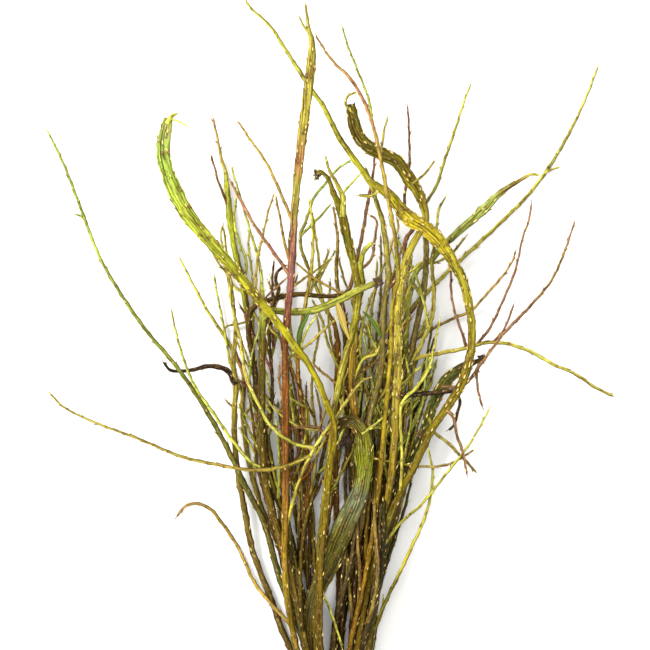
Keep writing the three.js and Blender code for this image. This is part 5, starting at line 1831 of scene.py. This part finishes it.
@dataclass
class RubberBand:
    """One rubber band wound three times round the stems, its end crossing back over its turns."""

    laid: list[list[Shoot]]
    turn_width: float = 2.7
    thickness: float = 1.7
    rounding: float = 0.55
    pitch: float = 2.85
    seat: float = 0.3
    crossing_gap: float = 0.15
    crossing_rounding: float = 0.6
    back_from: float = 2.72  # turns after which the end crosses back
    back_angle: float = 1.9
    steps: int = 480
    sides: int = 12

    def reach(self, turn: Array) -> tuple[Array, Array]:
        """Finds the band's inside round the tight bundle.

        Args:
            turn: the directions round the bundle.

        Returns:
            The reach in each direction, and its slope.
        """
        c, s = np.cos(turn), np.sin(turn)
        best = np.full_like(turn, -np.inf)
        for trunk, *_ in self.laid:
            for i in np.flatnonzero(np.abs(trunk.y) < BAND_TURN * BAND_TURNS / 2 + STEP):
                rim = np.hypot(trunk.half[i] * c, trunk.rise[i] * s)
                best = np.maximum(best, trunk.x[i] * c + trunk.z[i] * s + rim)
        best = best + self.seat
        step = turn[1] - turn[0]
        return best, (np.roll(best, -1) - np.roll(best, 1)) / (2 * step)

    def rounded(self, way: Array) -> Array:
        """Squares a circle's sine or cosine, for the band's flat section."""
        return np.sign(way) * np.abs(way) ** self.rounding

    def build(self, material: Material) -> bpy.types.Object:
        """Makes the band.

        Args:
            material: its finish.

        Returns:
            The object.
        """
        once = self.steps // BAND_TURNS
        reach, slope = self.reach(np.arange(once) / once * 2 * np.pi)
        turns = np.arange(self.steps) / self.steps * BAND_TURNS
        back = (turns - self.back_from) / (BAND_TURNS - self.back_from)
        along = self.pitch * (
            2 * np.minimum(turns, self.back_from) / self.back_from - 1 - 2 * smooth(back))
        hump = np.sin(np.pi * np.clip(back, 0, 1)) ** self.crossing_rounding
        lift = (self.thickness + self.crossing_gap) * hump
        angle = turns * 2 * np.pi + self.back_angle
        at = (angle / FULL_TURN * once) % once
        ids = np.arange(-2, once + 3)
        out, aside = (np.interp(at, ids, values[ids % once])[:, None] for values in (reach, slope))
        level, c, s = np.zeros_like(angle), np.cos(angle), np.sin(angle)
        normal = np.stack([c, level, s], axis=1)
        inner = normal * (out + lift[:, None]) + np.stack([-s, level, c], axis=1) * aside
        inner[:, 1] = along
        corner = np.linspace(0, FULL_TURN, self.sides, endpoint=False) + np.pi / self.sides
        high = (self.rounded(np.sin(corner)) + 1) * self.thickness / 2
        rings = inner[:, None] + high[None, :, None] * normal[:, None]
        rings[..., 1] += (self.rounded(np.cos(corner)) * self.turn_width / 2)[None, :]
        a = np.arange(self.steps * self.sides).reshape(self.steps, self.sides)
        b = np.roll(a, -1, axis=0)
        quads = np.stack([a, np.roll(a, -1, axis=1), np.roll(b, -1, axis=1), b], axis=-1)
        faces = quads.reshape(-1, 4).tolist()
        return add_mesh("rubber_band_turns", rings.reshape(-1, 3), faces, [material])


@dataclass(frozen=True)
class SoftBox:
    """A square soft light: where it hangs and how wide it is, in metres, and its power."""

    name: str
    place: tuple[float, float, float]
    size: float
    watts: float


@dataclass
class Studio:
    """The pale floor, the soft lights and the camera above the bunch, in metres."""

    floor_size: float = 16.0
    middle: tuple[float, float, float] = (-0.0098, 0.553, 0.09)
    camera_height: float = 20.0
    picture_height: float = 0.91  # of the bunch, from the photo's lower edge to its upper edge
    sensor: float = 36.0
    far: float = 100.0
    room: str = "#F6F6F4"
    room_light: float = 0.8
    boxes: tuple[SoftBox, ...] = (
        SoftBox("key", (-2.0, 2.0, 3.0), 1.2, 172.0), SoftBox("fill", (2.4, -0.4, 2.8), 2.4, 22.0),
        SoftBox("top", (0.0, 0.55, 4.0), 3.0, 90.0))

    def build(self) -> None:
        """Makes the floor, the lights and the camera."""
        self.add_floor()
        self.add_lights()
        self.add_camera()

    def add_floor(self) -> None:
        """Adds the floor."""
        corners = np.array([(-1, -1, 0), (1, -1, 0), (1, 1, 0), (-1, 1, 0)]) * self.floor_size / 2 / MM
        add_mesh("floor", corners, [(0, 1, 2, 3)], [PaintedBoard().build("painted_board")])

    def add_lights(self) -> None:
        """Adds the soft boxes and the pale room round them."""
        world = bpy.data.worlds.new("pale_room")
        world.use_nodes = True
        tree = world.node_tree
        fill_inputs(tree, tree.nodes["Background"], {0: self.room, 1: self.room_light})
        bpy.context.scene.world = world
        for box in self.boxes:
            light = bpy.data.lights.new(box.name, "AREA")
            light.size, light.energy = box.size, box.watts
            lamp = add_object(box.name, light)
            lamp.location = box.place
            aim = Vector(self.middle) - Vector(box.place)
            lamp.rotation_euler = aim.to_track_quat("-Z", "Y").to_euler()
            lamp.visible_camera = False

    def add_camera(self) -> None:
        """Adds the camera, looking straight down with the tips at the top of the picture."""
        camera = bpy.data.cameras.new("camera")
        camera.sensor_width, camera.clip_end = self.sensor, self.far
        camera.lens = self.sensor * (self.camera_height - self.middle[2]) / self.picture_height
        eye = add_object("camera", camera)
        eye.location = (*self.middle[:2], self.camera_height)
        bpy.context.scene.camera = eye
        bpy.context.scene.view_settings.view_transform = "Standard"


@dataclass
class Bunch:
    """The whole bunch: its stems, its leaves and its rubber band."""

    slots: dict[str, str]
    plans: tuple[StemPlan, ...] = STEMS
    seed: int = 41
    green_width: float = 8.0  # the most of a leaf that stayed green

    def report(self, piece: bpy.types.Object, node: str, stands_for: bool = True) -> None:
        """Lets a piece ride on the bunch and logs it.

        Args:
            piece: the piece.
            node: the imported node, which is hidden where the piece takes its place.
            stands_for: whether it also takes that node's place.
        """
        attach(piece, "root")
        if stands_for:
            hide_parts(node)
        LOG.info("%s: %d faces", piece.name, len(piece.data.polygons))

    def build(self) -> None:
        """Makes every piece."""
        laid = Layering(self.plans).lay()
        Spray(laid, np.random.default_rng(self.seed)).grow()
        barks = {bark: bark.value.build(bark.name.lower() + "_willow_bark") for bark in Bark}
        others = [BudScale().build("willow_bud_scale"), CutWillow().build("cut_willow_wood"),
                  DriedCatkin().build("dried_willow_catkin")]
        green = WillowLeaf().build("green_willow_leaf")
        sere = WillowLeaf("#A48E3C", "#80692A", "#C4B470").build("withered_willow_leaf")
        for i, (plan, shoots) in enumerate(zip(self.plans, laid)):
            wood = StemWood(plan, shoots, np.random.default_rng(self.seed + i))
            self.report(wood.build([barks[plan.bark], *others], TUFTS.get(plan.name)), plan.name)
            for k, shoot in enumerate(shoot for shoot in shoots if shoot.leaf):
                finish = sere if shoot.width.max() > self.green_width else green
                blade = Leaf(shoot).build(f"{plan.name}_leaf_{k + 1}", finish)
                self.report(blade, plan.name, stands_for=False)
        self.report(RubberBand(laid).build(NaturalRubber().build("natural_rubber")), "rubber_band")


def main() -> None:
    """Loads the frame and builds the bunch and the studio round it."""
    logging.basicConfig(level=logging.INFO, format="%(name)s: %(message)s")
    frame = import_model()
    slots = {row["node"]: row["material_slot"] for row in frame["record"]["subparts"]}
    Studio().build()
    Bunch(slots).build()
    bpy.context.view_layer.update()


if __name__ == "__main__":
    main()
